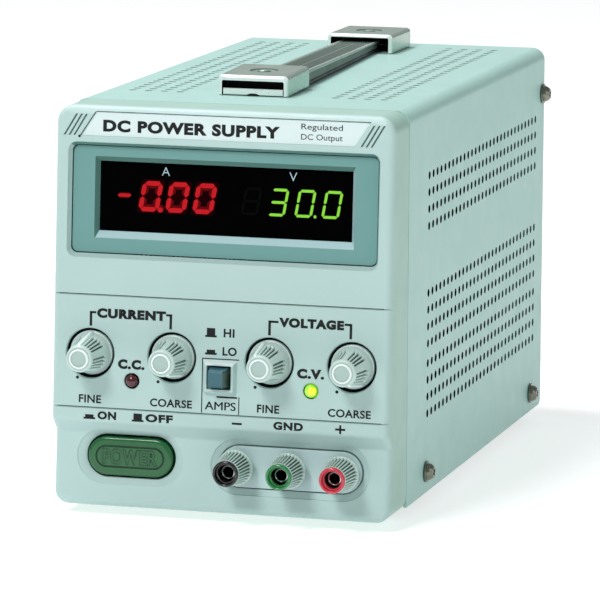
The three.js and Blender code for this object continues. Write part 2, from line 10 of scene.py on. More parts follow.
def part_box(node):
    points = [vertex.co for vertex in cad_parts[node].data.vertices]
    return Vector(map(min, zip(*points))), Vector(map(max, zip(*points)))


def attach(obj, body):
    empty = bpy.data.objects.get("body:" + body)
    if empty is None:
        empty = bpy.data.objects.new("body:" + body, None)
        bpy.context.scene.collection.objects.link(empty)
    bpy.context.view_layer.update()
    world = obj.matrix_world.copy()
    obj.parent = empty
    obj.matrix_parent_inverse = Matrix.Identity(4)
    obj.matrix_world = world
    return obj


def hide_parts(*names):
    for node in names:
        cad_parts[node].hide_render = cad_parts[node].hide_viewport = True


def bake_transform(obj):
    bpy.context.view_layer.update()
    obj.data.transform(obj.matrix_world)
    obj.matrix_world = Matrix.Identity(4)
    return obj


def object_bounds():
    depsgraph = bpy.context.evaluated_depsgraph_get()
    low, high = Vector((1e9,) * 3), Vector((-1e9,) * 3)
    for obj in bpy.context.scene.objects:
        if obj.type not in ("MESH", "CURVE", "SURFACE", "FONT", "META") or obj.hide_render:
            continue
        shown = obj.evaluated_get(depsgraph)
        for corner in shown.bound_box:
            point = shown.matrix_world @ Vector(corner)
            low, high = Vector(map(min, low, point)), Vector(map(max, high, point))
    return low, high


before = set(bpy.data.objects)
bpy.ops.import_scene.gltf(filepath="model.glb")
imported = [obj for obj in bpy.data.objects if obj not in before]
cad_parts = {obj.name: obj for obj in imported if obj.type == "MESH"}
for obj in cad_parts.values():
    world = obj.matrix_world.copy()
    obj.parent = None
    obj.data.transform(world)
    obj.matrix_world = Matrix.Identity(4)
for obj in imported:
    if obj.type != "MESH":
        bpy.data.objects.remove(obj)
cad_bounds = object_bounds()

# ---- The working frame -----------------------------------------------------------------------------
# Pieces are drawn in case millimetres: x is 0 at the middle of the case, y is 0 at the seam between
# bezel and cover and grows to the rear, and z is 0 at the cover's lower edge.
MM = 0.001
COVER_GAP = 0.4
cover_low, cover_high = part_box("cover")
ORIGIN = Vector((0, cover_low.y / MM - COVER_GAP, cover_low.z / MM))
CASE = Matrix.Scale(MM, 4) @ Matrix.Translation(ORIGIN)


def case_box(node):
    """A CAD node's lowest and highest corner in case millimetres."""
    return [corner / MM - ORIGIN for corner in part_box(node)]


def spans_of(node):
    """A CAD node's extent along x, y and z."""
    return list(zip(*case_box(node)))


def middle_of(node):
    """The x and z of a CAD node's middle."""
    low, high = case_box(node)
    return (low.x + high.x) / 2, (low.z + high.z) / 2


HALF = cover_high.x / MM
TOP = (cover_high.z - cover_low.z) / MM
REAR = cover_high.y / MM - ORIGIN.y
BEZEL_BOTTOM = case_box("front_bezel")[0].z
FLOOR_Z = cad_bounds[0].z
SHEET = 1.2

# ---- Camera ----------------------------------------------------------------------------------------
CAMERA_PLACE = (0.48732, -1.73162, 0.36256)
CAMERA_LOOK = Vector((-0.27018, 0.94869, -0.16430))
CAMERA_UP = Vector((-0.05012, 0.15655, 0.98640))
LENS = 281.2


def add_camera():
    data = bpy.data.cameras.new("camera")
    data.lens = LENS
    data.sensor_width = 36
    data.clip_start = 0.1
    data.clip_end = 20
    camera = bpy.data.objects.new("camera", data)
    back = -CAMERA_LOOK.normalized()
    right = CAMERA_UP.cross(back).normalized()
    up = back.cross(right)
    camera.matrix_world = Matrix.Translation(CAMERA_PLACE) @ Matrix((right, up, back)).transposed().to_4x4()
    bpy.context.scene.collection.objects.link(camera)
    bpy.context.scene.camera = camera


add_camera()


# ---- Materials -------------------------------------------------------------------------------------
def linear(colour):
    """An sRGB colour of 0 to 255 as the linear value that a shader takes."""
    parts = [c / 255 for c in colour]
    return tuple(c / 12.92 if c <= 0.04045 else ((c + 0.055) / 1.055) ** 2.4 for c in parts) + (1,)


def material(name, colour, roughness=0.5, metallic=0.0, specular=0.5, mottle=0.05, grain=0.1,
             grain_size=0.5, coat=0.0, glow=0.0, brushed=None, painted_top_light=None):
    """A procedural finish: uneven colour and gloss over a fine surface grain.

    Sizes are in millimetres. brushed stretches the grain along one axis, and glow is emission.
    The last argument, (low, high, gain), is painted light: the colour gains that much between two heights of
    the case, so upper parts look lit from above.
    """
    made = bpy.data.materials.new(name)
    made.use_nodes = True
    nodes, links = made.node_tree.nodes, made.node_tree.links
    shader = nodes["Principled BSDF"]
    shader.inputs["Metallic"].default_value = metallic
    shader.inputs["Specular IOR Level"].default_value = specular
    shader.inputs["Coat Weight"].default_value = coat
    shader.inputs["Coat Roughness"].default_value = 0.15
    place = nodes.new("ShaderNodeTexCoord")

    def noise(size, detail, stretch=(1, 1, 1)):
        mapping = nodes.new("ShaderNodeMapping")
        mapping.inputs["Scale"].default_value = [s / (size * MM) for s in stretch]
        texture = nodes.new("ShaderNodeTexNoise")
        texture.inputs["Scale"].default_value = 1
        texture.inputs["Detail"].default_value = detail
        links.new(place.outputs["Object"], mapping.inputs["Vector"])
        links.new(mapping.outputs["Vector"], texture.inputs["Vector"])
        return texture.outputs["Fac"]

    def remap(value, low, high):
        ranged = nodes.new("ShaderNodeMapRange")
        ranged.inputs["From Min"].default_value = 0.3
        ranged.inputs["From Max"].default_value = 0.7
        ranged.inputs["To Min"].default_value = low
        ranged.inputs["To Max"].default_value = high
        links.new(value, ranged.inputs["Value"])
        return ranged.outputs["Result"]

    clouds = noise(28, 4)
    tint = nodes.new("ShaderNodeMix")
    tint.data_type = "RGBA"
    tint.blend_type = "MULTIPLY"
    tint.inputs[0].default_value = 1
    tint.inputs["A"].default_value = linear(colour)
    shade = nodes.new("ShaderNodeCombineColor")
    tone = remap(clouds, 1 - mottle, 1)
    # Painted light: the colour gains toward the top of the case, as if lit from above.
    if painted_top_light:
        height = nodes.new("ShaderNodeSeparateXYZ")
        links.new(place.outputs["Object"], height.inputs["Vector"])
        gain = nodes.new("ShaderNodeMapRange")
        gain.inputs["From Min"].default_value = (painted_top_light[0] + ORIGIN.z) * MM
        gain.inputs["From Max"].default_value = (painted_top_light[1] + ORIGIN.z) * MM
        gain.inputs["To Min"].default_value = 1
        gain.inputs["To Max"].default_value = painted_top_light[2]
        links.new(height.outputs["Z"], gain.inputs["Value"])
        product = nodes.new("ShaderNodeMath")
        product.operation = "MULTIPLY"
        links.new(tone, product.inputs[0])
        links.new(gain.outputs["Result"], product.inputs[1])
        tone = product.outputs["Value"]
    for channel in ("Red", "Green", "Blue"):
        links.new(tone, shade.inputs[channel])
    links.new(shade.outputs["Color"], tint.inputs["B"])
    links.new(tint.outputs["Result"], shader.inputs["Base Color"])
    links.new(remap(noise(9, 3), roughness * 0.88, min(1, roughness * 1.1)), shader.inputs["Roughness"])
    bump = nodes.new("ShaderNodeBump")
    bump.inputs["Strength"].default_value = grain
    bump.inputs["Distance"].default_value = 0.05 * MM
    stretch = (1, 1, 1) if brushed is None else brushed
    links.new(noise(grain_size, 2, stretch), bump.inputs["Height"])
    links.new(bump.outputs["Normal"], shader.inputs["Normal"])
    if glow:
        shader.inputs["Emission Color"].default_value = linear(colour)
        shader.inputs["Emission Strength"].default_value = glow
    return made


def display_ink(name, colour, mottle, glow=0.0, roughness=0.6):
    """A finish behind the display's glass, with no gloss and no grain."""
    return material(name, colour, roughness, specular=0.0, grain=0.0, mottle=mottle, glow=glow)


MATERIALS = {
    "cover": material("cover_paint", (160, 198, 190), 0.45, grain=0.35, grain_size=0.6, mottle=0.04,
                      painted_top_light=(143, 146.3, 1.05)),
    "bezel": material("bezel_plastic", (170, 196, 193), 0.48, grain=0.25, grain_size=0.35, mottle=0.03,
                      specular=0.35, painted_top_light=(118, 142, 1.03)),
    "bezel_side": material("bezel_side_painted_shade", (156, 190, 178), 0.5, grain=0.25, grain_size=0.35,
                           mottle=0.03),
    "plate": material("name_plate_ink_and_painted_highlight", (206, 222, 222), 0.4, grain=0.05, mottle=0.02),
    "line": material("line_shadow", (72, 94, 88), 0.6, specular=0.2, grain=0.1, mottle=0.05),
    "trim": material("terminal_grey", (176, 200, 200), 0.35, grain=0.15, mottle=0.03),
    "bevel": material("glossy_bevel_painted_highlight", (176, 208, 212), 0.2, coat=0.8, grain=0.08, mottle=0.03),
    "bevel_dark": material("bevel_shade", (84, 124, 117), 0.4, grain=0.1, mottle=0.04),
    "recess": material("recess_shadow", (14, 17, 16), 0.7, specular=0.2, grain=0.2),
    "teal": material("teal_plastic", (99, 146, 143), 0.45, grain=0.2, grain_size=0.4, mottle=0.03),
    "window": material("window_glass", (3, 3, 4), 0.5, specular=0.0, grain=0.0, mottle=0.2),
    "print": material("printed_black", (16, 20, 20), 0.5, specular=0.25, grain=0.05, mottle=0.15),
    "knob": material("knob_plastic", (188, 209, 203), 0.4, grain=0.15, grain_size=0.4, mottle=0.04),
    "knob_tip": material("knob_tip_painted_shade", (162, 184, 178), 0.4, grain=0.15, grain_size=0.4, mottle=0.04),
    "post_cap": material("post_cap_plastic", (192, 212, 205), 0.35, grain=0.12, grain_size=0.4, mottle=0.03),
    "groove": material("knob_groove_painted_shade", (84, 106, 99), 0.6, specular=0.2, grain=0.15, mottle=0.12),
    "pointer": material("pointer_white", (232, 242, 238), 0.35, grain=0.05, mottle=0.02),
    "button": material("button_teal", (36, 90, 102), 0.25, coat=0.15, grain=0.08, mottle=0.12),
    "button_top": material("button_teal_painted_light", (56, 104, 118), 0.25, coat=0.15, grain=0.08, mottle=0.08),
    "button_side": material("button_teal_painted_shade", (44, 68, 56), 0.3, coat=0.2, grain=0.08, mottle=0.12),
    "power": material("button_green", (4, 88, 40), 0.25, coat=0.25, grain=0.1, mottle=0.1),
    "engraved": material("engraved_green_painted_shade", (12, 56, 34), 0.5, grain=0.1, mottle=0.1),
    "black": material("black_plastic", (17, 18, 18), 0.42, grain=0.25, grain_size=0.4, mottle=0.15),
    "gloss_black": material("post_black", (10, 11, 11), 0.15, coat=0.3, grain=0.05, mottle=0.1),
    "gloss_green": material("post_green", (34, 124, 66), 0.18, coat=0.3, grain=0.05, mottle=0.1),
    "gloss_red": material("post_red", (196, 44, 62), 0.18, coat=0.3, grain=0.05, mottle=0.1),
    "red": material("selector_red", (170, 34, 40), 0.35, grain=0.1, mottle=0.1),
    "chrome": material("chrome_plate", (206, 216, 212), 0.16, metallic=1, grain=0.04, mottle=0.05),
    "cap": material("satin_plate", (184, 206, 194), 0.28, metallic=0.75, grain=0.12, mottle=0.06,
                    grain_size=0.3, brushed=(0.04, 1, 1)),
    "edge": material("edge_painted_highlight", (225, 238, 234), 0.3, metallic=0.2, grain=0.08, mottle=0.04),
    "nickel": material("nickel_plate", (128, 130, 118), 0.28, metallic=1, grain=0.1, mottle=0.1),
    "zinc": material("zinc_steel", (150, 156, 154), 0.38, metallic=1, grain=0.2, mottle=0.12),
    "strap": material("strap_vinyl", (98, 116, 108), 0.5, grain=0.3, grain_size=0.3, mottle=0.08),
    "strap_edge": material("strap_edge_painted_highlight", (150, 170, 160), 0.3, grain=0.1, mottle=0.05),
    "anodised": material("black_anodised", (22, 23, 24), 0.45, metallic=0.4, grain=0.15, mottle=0.15),
    "rubber": material("foot_rubber", (24, 24, 24), 0.85, specular=0.3, grain=0.4, mottle=0.15),
    "board": material("circuit_board", (36, 92, 52), 0.5, grain=0.2, mottle=0.2),
    "core": material("core_steel", (92, 94, 96), 0.5, metallic=0.8, grain=0.5, brushed=(0.03, 1, 0.03)),
    "winding": material("winding_tape", (176, 140, 62), 0.45, grain=0.4, grain_size=0.8,
                        brushed=(1, 1, 0.05)),
    "sleeve": material("capacitor_sleeve", (26, 34, 60), 0.35, grain=0.1, mottle=0.1),
    "red_lens": material("red_lens", (66, 5, 14), 0.14, coat=0.35, grain=0.03, mottle=0.1),
    "green_lens": material("green_lens", (158, 226, 60), 0.2, coat=0.3, grain=0.03, mottle=0.05, glow=0.35),
    "lamp_heart": material("lamp_heart", (250, 232, 40), 0.2, coat=0.3, grain=0.0, mottle=0.02, glow=0.6),
    "red_digit": display_ink("red_digit", (164, 24, 30), 0.05, 0.3),
    "red_glow": display_ink("red_glow", (84, 9, 13), 0.1, 0.2, 0.8),
    "red_haze": display_ink("red_haze", (22, 2, 4), 0.1, 0.2, 0.8),
    "green_digit": display_ink("green_digit", (118, 184, 56), 0.05, 0.3),
    "white_digit": display_ink("white_mark", (150, 178, 184), 0.02, 0.2, 0.5),
    "unlit_digit": display_ink("unlit_digit", (8, 9, 9), 0.1),
    "socket": material("painted_shade_black", (9, 9, 9), 0.5, specular=0.2, grain=0.1, mottle=0.2),
}

# Painted shade in the ventilation holes: their walls are painted darkest at the front, paler toward the
# rear, and palest on the top.
HOLE_PAINTED_SHADES = {"front": (17, 27, 25), "middle": (40, 58, 54), "rear": (72, 96, 90), "top": (176, 204, 197)}
for hole_place, tone in HOLE_PAINTED_SHADES.items():
    MATERIALS[f"hole_{hole_place}"] = material(
        f"vent_hole_painted_shade_{hole_place}", tone, 0.6, specular=0.1, grain=0.2, mottle=0.2)

# ---- Mesh helpers ----------------------------------------------------------------------------------
SHARP = math.radians(33)


def loop(bm, points, y):
    """Vertices at points of (x, z). y is a depth or a function of z."""
    return [bm.verts.new((px, y(pz) if callable(y) else y, pz)) for px, pz in points]


def bridge(bm, first, second, index=0, closed=True):
    """Quads between two rows of as many vertices."""
    count = len(first) if closed else len(first) - 1
    for i in range(count):
        j = (i + 1) % len(first)
        face = bm.faces.new((first[i], first[j], second[j], second[i]))
        face.material_index = index


def skin(bm, rows, index=0, closed=True):
    """Bridges rows in order. index is one finish for all, or a function of the band's number."""
    for band, (first, second) in enumerate(zip(rows, rows[1:])):
        bridge(bm, first, second, index(band) if callable(index) else index, closed)


def cap_off(bm, ring, index=0):
    bm.faces.new(ring).material_index = index


def xz(co):
    return Vector((co.x, co.z))


def yz(co):
    return Vector((co.y, co.z))


def xy(co):
    return Vector((co.x, co.y))


def round_turn(count):
    """Angles that share out a full turn."""
    return [2 * math.pi * i / count for i in range(count)]


def quarter_turn(steps):
    """Angles from 0 to a right angle."""
    return [math.pi / 2 * i / steps for i in range(steps + 1)]


def fill(bm, outer, holes=(), lines=(), flat=xz, index=0):
    """Triangles between a closed loop and the convex holes in it, cut along lines of two vertices."""
    vertices = list(outer)
    owner = [0] * len(outer)
    edges = []
    for number, ring in enumerate([outer, *holes]):
        start = 0 if number == 0 else len(vertices)
        if number:
            vertices.extend(ring)
            owner.extend([number] * len(ring))
        edges += [(start + i, start + (i + 1) % len(ring)) for i in range(len(ring))]
    place = {v: i for i, v in enumerate(vertices)}
    edges += [(place[a], place[b]) for a, b in lines]
    points = [flat(v.co) for v in vertices]
    found, _, triangles, sources, _, _ = delaunay_2d_cdt(points, edges, [], 1, 1e-5)
    for corners in triangles:
        origins = [sources[c] for c in corners]
        if not all(origins):
            raise ValueError(f"a line crosses a loop away from its vertices near {found[corners[0]]}")
        numbers = [origin[0] for origin in origins]
        rings = {owner[n] for n in numbers}
        if len(rings) == 1 and 0 not in rings:
            continue
        face = bm.faces.new([vertices[n] for n in numbers])
        face.material_index = index


def circle(x, z, radius, count=32):
    return [(x + radius * math.cos(a), z + radius * math.sin(a)) for a in round_turn(count)]


def rounded(x_span, z_span, radii, steps=5):
    """A rectangle's outline, with a radius for its two lower and for its two upper corners."""
    (x0, x1), (z0, z1) = x_span, z_span
    low, high = radii if isinstance(radii, tuple) else (radii, radii)
    corners = [(x1, z0, -1, 1, low, -90), (x1, z1, -1, -1, high, 0),
               (x0, z1, 1, -1, high, 90), (x0, z0, 1, 1, low, 180)]
    points = []
    for x, z, in_x, in_z, radius, start in corners:
        for i in range(steps + 1):
            a = math.radians(start + 90 * i / steps)
            centre_x, centre_z = x + in_x * radius, z + in_z * radius
            points.append((centre_x + radius * math.cos(a), centre_z + radius * math.sin(a)))
    return points


def panel(x, z, width, height, radius, steps=3):
    """A rounded rectangle about its centre."""
    return rounded((x - width / 2, x + width / 2), (z - height / 2, z + height / 2), radius, steps)


def stadium(x, z, half_width, half_height, steps=12):
    radius = half_height - 0.001
    return rounded((x - half_width, x + half_width), (z - half_height, z + half_height), radius, steps)


def lofted(bm, rings, index=0):
    """Joins rings of (points, y) in order and returns their vertex loops."""
    loops = [loop(bm, points, y) for points, y in rings]
    skin(bm, loops, index)
    return loops


def turned(bm, profile, x=0.0, z=0.0, count=48, index=0):
    """A body turned about a line along Y. The profile lists (radius, y) from one end to the other."""
    rings = [loop(bm, circle(x, z, radius, count), y) for radius, y in profile if radius > 0]
    skin(bm, rings, index)
    for pole, ring in ((profile[0], rings[0]), (profile[-1], rings[-1])):
        if pole[0] == 0:
            centre = bm.verts.new((x, pole[1], z))
            for i, v in enumerate(ring):
                bm.faces.new((v, ring[(i + 1) % count], centre)).material_index = index
        elif profile[0] != profile[-1]:
            cap_off(bm, ring, index)


def box(bm, low, high, bevel, index=0):
    """A block with rounded edges."""
    made = bmesh.ops.create_cube(bm, size=1)["verts"]
    size = [h - l for l, h in zip(low, high)]
    middle = [(h + l) / 2 for l, h in zip(low, high)]
    for v in made:
        v.co = Vector([m + c * s for m, c, s in zip(middle, v.co, size)])
    edges = list(dict.fromkeys(e for v in made for e in v.link_edges))
    cut = bmesh.ops.bevel(bm, geom=edges, offset=bevel, segments=2, profile=0.5, affect="EDGES",
                          clamp_overlap=True)
    for f in set(cut["faces"]) | {f for v in cut["verts"] for f in v.link_faces}:
        f.material_index = index


def region_numbers(bm):
    """Groups faces into flat regions, and returns each face's group and each group's area."""
    number, areas = {}, []
    for seed in bm.faces:
        if seed in number:
            continue
        number[seed] = len(areas)
        area, waiting = 0.0, [seed]
        while waiting:
            face = waiting.pop()
            area += face.calc_area()
            for edge in face.edges:
                for other in edge.link_faces:
                    if other not in number and face.normal.dot(other.normal) > 0.99997:
                        number[other] = number[seed]
                        waiting.append(other)
        areas.append(area)
    return number, areas


def shade(bm):
    """Corner normals: flat regions stay exactly flat, curved ones are smooth, and sharp edges break."""
    number, areas = region_numbers(bm)
    normals = {}
    limit = math.cos(SHARP)
    for v in bm.verts:
        left = set(v.link_faces)
        while left:
            fan, waiting = [], [left.pop()]
            while waiting:
                face = waiting.pop()
                fan.append(face)
                for edge in face.edges:
                    if v not in edge.verts:
                        continue
                    for other in edge.link_faces:
                        if other in left and face.normal.dot(other.normal) > limit:
                            left.discard(other)
                            waiting.append(other)
            weights = {number[f]: (areas[number[f]], f.normal) for f in fan}
            ranked = sorted(weights.values(), key=lambda w: -w[0])
            normal = ranked[0][1].copy()
            if len(ranked) > 1 and ranked[0][0] < 4 * ranked[1][0]:
                normal = sum((n * a for a, n in ranked), Vector())
            for f in fan:
                normals[f.index, v.index] = normal.normalized()
    return normals


def piece(name, bm, materials, body="root", replaces=(), blend=None):
    """Finishes a mesh drawn in case millimetres as an object that rides on a body, or, given blend, stays
    where it is drawn on no body.
    """
    bmesh.ops.remove_doubles(bm, verts=bm.verts, dist=0.0015)
    bmesh.ops.dissolve_degenerate(bm, dist=0.0005, edges=bm.edges)
    bmesh.ops.recalc_face_normals(bm, faces=bm.faces)
    bm.normal_update()
    bm.verts.index_update()
    bm.faces.index_update()
    normals = shade(bm)
    bm.transform(CASE)
    mesh = bpy.data.meshes.new(name)
    bm.to_mesh(mesh)
    bm.free()
    mesh.polygons.foreach_set("use_smooth", [True] * len(mesh.polygons))
    corners = [normals[p.index, v] for p in mesh.polygons for v in p.vertices]
    mesh.normals_split_custom_set(corners)
    for key in [materials] if isinstance(materials, str) else materials:
        mesh.materials.append(MATERIALS[key])
    made = bpy.data.objects.new(name, mesh)
    bpy.context.scene.collection.objects.link(made)
    if blend:
        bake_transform(made)
    else:
        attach(made, body)
    if replaces:
        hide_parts(*replaces)
    return made


# ---- Bezel surface ---------------------------------------------------------------------------------
# Seen from the side, the front leans back, ends in a strip that stands proud, and steps back to a
# lower face. Grooves cross it at two heights.
TOP_ROUND = 4.0
BOTTOM_ROUND = 3.0
SIDE_ROUND = 2.5
TOP_CORNER = 6.5
BOTTOM_CORNER = 5.5
WALL = 2.6
GROOVES = (77.5, 36.0)
GROOVE_HALF = 0.36
GROOVE_DEPTH = 0.6
CORNER_ANGLES = (0, 9, 18, 27, 36, 45, 54, 63, 72, 79, 85, 87.5, 90)


def face_plane(z):
    return -27.3 + 0.0643 * (z - 37.5)


def lower_plane(z):
    return -24.9 + 0.09 * (z - 4)


STEP = [(25.4, lower_plane(25.4)), (26.0, -23.1), (26.6, -23.5), (29.9, -26.3), (30.3, -26.8),
        (30.9, -27.25), (31.6, -27.55), (32.4, face_plane(32.4))]


def between(points, z):
    """Linear interpolation in a rising list of (z, y)."""
    i = min(max(bisect_right(points, (z, math.inf)) - 1, 0), len(points) - 2)
    (z0, y0), (z1, y1) = points[i], points[i + 1]
    return y0 + (y1 - y0) * (z - z0) / (z1 - z0)


def base_y(z):
    """The front surface's depth without its grooves."""
    below = BEZEL_BOTTOM + BOTTOM_ROUND - z
    above = z - (TOP - TOP_ROUND)
    if below > 0:
        share = min(1, below / BOTTOM_ROUND)
        return lower_plane(z + below) + BOTTOM_ROUND * (1 - math.sqrt(1 - share * share))
    if above > 0:
        share = min(1, above / TOP_ROUND)
        return face_plane(z - above) + TOP_ROUND * (1 - math.sqrt(1 - share * share))
    if z >= STEP[-1][0]:
        return face_plane(z)
    return lower_plane(z) if z <= STEP[0][0] else between(STEP, z)


def face_y(z):
    return base_y(z) + sum(max(0, GROOVE_DEPTH * (1 - abs(z - g) / GROOVE_HALF)) for g in GROOVES)


def on_face(depth):
    """A height function for loops that lie at a depth behind the front surface."""
    return lambda z: face_y(z) + depth


def bezel_samples():
    """The right half of the front outline, bottom to top, as (x, z, normal x, normal z, fillet)."""
    samples = []
    for angle in reversed(CORNER_ANGLES):
        c, s = math.cos(math.radians(angle)), math.sin(math.radians(angle))
        x = HALF - BOTTOM_CORNER * (1 - c)
        samples.append((x, BEZEL_BOTTOM + BOTTOM_CORNER * (1 - s), c, -s, SIDE_ROUND * c))
    levels = [z for z, _ in STEP]
    levels += [g + shift for g in GROOVES for shift in (-GROOVE_HALF, 0, GROOVE_HALF)]
    samples += [(HALF, z, 1, 0, SIDE_ROUND) for z in sorted(levels)]
    for angle in CORNER_ANGLES:
        c, s = math.cos(math.radians(angle)), math.sin(math.radians(angle))
        samples.append((HALF - TOP_CORNER * (1 - c), TOP - TOP_CORNER * (1 - s), c, s, SIDE_ROUND * c))
    return samples


SAMPLES = bezel_samples()
LEVELS = [z - nz * r for x, z, nx, nz, r in SAMPLES]
UNROLLED = [0.0]
for lower, upper in zip(LEVELS, LEVELS[1:]):
    UNROLLED.append(UNROLLED[-1] + math.hypot(upper - lower, face_y(upper) - face_y(lower)))


def unrolled(co):
    """A point of the front surface, laid flat."""
    return Vector((co.x, between(list(zip(LEVELS, UNROLLED)), co.z)))


def crossings(points, levels):
    """Where a closed outline crosses the levels, as (segment, share of it, level), in order."""
    found = []
    for i, (_, z0) in enumerate(points):
        z1 = points[(i + 1) % len(points)][1]
        inside = [level for level in levels if min(z0, z1) + 1e-4 < level < max(z0, z1) - 1e-4]
        found += sorted([(i, (level - z0) / (z1 - z0), level) for level in inside])
    return found


def with_crossings(points, found, snap=False):
    """The outline with a point added at each crossing, at that level itself if snap."""
    result = []
    for i, start in enumerate(points):
        result.append(start)
        end = points[(i + 1) % len(points)]
        for segment, share, level in found:
            if segment == i:
                x, z = (a + (b - a) * share for a, b in zip(start, end))
                result.append((x, level if snap else z))
    return result


def level_pairs(ring, levels):
    """Pairs of a loop's vertices that lie on the same level."""
    pairs = []
    for level in levels:
        found = [v for v in ring if abs(v.co.z - level) < 1e-5]
        if len(found) == 2:
            pairs.append(tuple(found))
    return pairs


def inset(points, amount):
    """A convex outline moved inward by amount, corner by corner."""
    moved = []
    for i, point in enumerate(points):
        before, here, after = Vector(points[i - 1]), Vector(point), Vector(points[(i + 1) % len(points)])
        one, two = (here - before).normalized(), (after - here).normalized()
        normal = Vector((-(one.y + two.y), one.x + two.x))
        scale = amount / max(0.3, normal.length_squared / 2)
        moved.append(tuple(here + normal * scale))
    return moved


# ---- Openings in the bezel -------------------------------------------------------------------------
BEZEL_FINISHES = ["bezel", "recess", "plate", "line", "bevel_dark", "bezel_side"]
FACE, RECESS, PLATE, LINE, SHADED, SIDE = range(len(BEZEL_FINISHES))
KNOBS = {"current_fine": 0, "current_coarse": 150, "voltage_fine": -19, "voltage_coarse": 150}
WELL = {"mouth": 9.55, "wall": 9.2, "floor": -22.6, "back": -20.6, "bushing": 3.9, "boss": 10.75}
DISPLAY_MOUTH = ((-59.25, 59.05), (91.0, 133.45))
DISPLAY_OPENING = ((-58.2, 58.0), (92.35, 132.0))
PLATE_OUTLINE = [(-54.4, 135.5), (49.2, 135.5), (55.0, 144.4), (-48.6, 144.4)]
PLATE_DEPTH = 0.4
STRIPE = {"low": 135.5, "high": 143.5, "lean": 0.6, "width": 0.85, "depth": 0.4}
STRIPES_LOW_X = (-60.75, -58.85, -57.0, 51.6, 53.5, 55.35)
POWER_DISH = {"x": -34.8, "z": 17.5, "outer": (20.4, 10.2), "inner": (17.05, 7.85), "depth": 1.6}
TERMINAL_DISH = {"x": 26.4, "z": 16.5, "outer": (30.2, 10.4), "inner": (27.4, 7.95), "depth": 1.1}
LED_X = {"cc_led": -33.1, "cv_led": 34.9}
LED_Z = 46.6
LED_HOLE = 2.9


def knob_centre(name):
    return middle_of(f"{name}_potentiometer")


def knob_well(bm, name):
    x, z = knob_centre(name)
    steps = [(WELL["mouth"], on_face(0)), (9.32, on_face(0.22)), (WELL["wall"], on_face(0.5)),
             (WELL["wall"], on_face(1.3)), (WELL["wall"], WELL["floor"]), (WELL["bushing"], WELL["floor"]),
             (WELL["bushing"], WELL["back"]), (WELL["boss"], WELL["back"]), (WELL["boss"], on_face(WALL))]
    loops = [loop(bm, circle(x, z, radius, 56), y) for radius, y in steps]
    skin(bm, loops, lambda band: RECESS if 3 <= band <= 5 else FACE)
    return loops


def led_hole(bm, x):
    rings = [(3.15, 0), (LED_HOLE, 0.2), (LED_HOLE, 0.6), (LED_HOLE, WALL)]
    return lofted(bm, [(circle(x, LED_Z, radius), on_face(depth)) for radius, depth in rings],
                  lambda band: RECESS if band == 2 else FACE)


def display_recess(bm):
    """The opening round the display surround. Its upper wall is shaded."""
    mouth = rounded(*DISPLAY_MOUTH, 3.5, 8)
    opening = rounded(*DISPLAY_OPENING, 2.4, 8)
    slope = [tuple(a + (b - a) * 0.2 for a, b in zip(p, q)) for p, q in zip(mouth, opening)]
    known = set(bm.faces)
    loops = lofted(bm, [(mouth, on_face(0)), (inset(mouth, 0.22), on_face(0.18)), (slope, on_face(0.55)),
                        (opening, on_face(WALL - 0.25)), (opening, on_face(WALL))])
    wall_z = DISPLAY_OPENING[1][1] - 0.3
    for face in set(bm.faces) - known:
        middle = face.calc_center_median()
        if middle.z > wall_z and middle.y > face_y(middle.z) + 0.3:
            face.material_index = SHADED
    return loops


def range_guard(bm):
    """A raised frame round the range button."""
    x, z = middle_of("range_button")
    sizes = [(12.9, 12.3, 0.5, 0), (11.2, 10.8, 0.5, -1.62), (10.9, 10.5, 0.4, -1.8), (9.4, 8.9, 0.3, -1.8),
             (9.1, 8.6, 0.3, -1.6), (9.1, 8.6, 0.3, WALL)]
    known = set(bm.faces)
    loops = lofted(bm, [(panel(x, z, *size), on_face(depth)) for *size, depth in sizes])
    # The guard's upper faces take the name plate's pale colour as a painted highlight.
    for face in set(bm.faces) - known:
        if face.calc_center_median().z > z + 4.3:
            face.material_index = PLATE
    return loops


def dish(bm, spec):
    """A pill-shaped ramp round an opening in the lower face. Its mouth reaches up the step."""
    x, z, depth = spec["x"], spec["z"], spec["depth"]
    outer = stadium(x, z, *spec["outer"])
    outlines = [outer, inset(outer, 0.16), stadium(x, z, spec["inner"][0] + 0.3, spec["inner"][1] + 0.3),
                stadium(x, z, *spec["inner"]), stadium(x, z, *spec["inner"])]
    found = crossings(outer, LEVELS)
    outlines = [with_crossings(points, found, i == 0) for i, points in enumerate(outlines)]

    def ramp(further):
        return lambda z: lower_plane(z) + depth + further

    heights = [on_face(0), on_face(0.3), ramp(0), ramp(0.4), lambda z: lower_plane(z) + WALL]
    return lofted(bm, zip(outlines, heights), lambda band: RECESS if band == 3 else FACE)


def sunk(bm, outline, depth, index):
    """A shallow flat-bottomed recess that follows the front surface. Returns its mouth."""
    found = crossings(outline, LEVELS)
    mouth = with_crossings(outline, found, True)
    base = with_crossings(inset(outline, 0.12), found, True)
    loops = [loop(bm, mouth, on_face(0)), loop(bm, base, on_face(depth))]
    bridge(bm, *loops)
    fill(bm, loops[1], (), level_pairs(loops[1], LEVELS), unrolled, index)
    return loops[0]


def stripe_outline(low_x):
    lean = STRIPE["lean"] * (STRIPE["high"] - STRIPE["low"])
    half = STRIPE["width"] / 2
    return [(low_x - half, STRIPE["low"]), (low_x + half, STRIPE["low"]),
            (low_x + lean + half, STRIPE["high"]), (low_x + lean - half, STRIPE["high"])]


def mirrored_ring(bm, right):
    """A vertex loop of the given right half and its mirror image."""
    left = [(-x, y, z) for x, y, z in reversed(right)]
    return [bm.verts.new(p) for p in right + left]


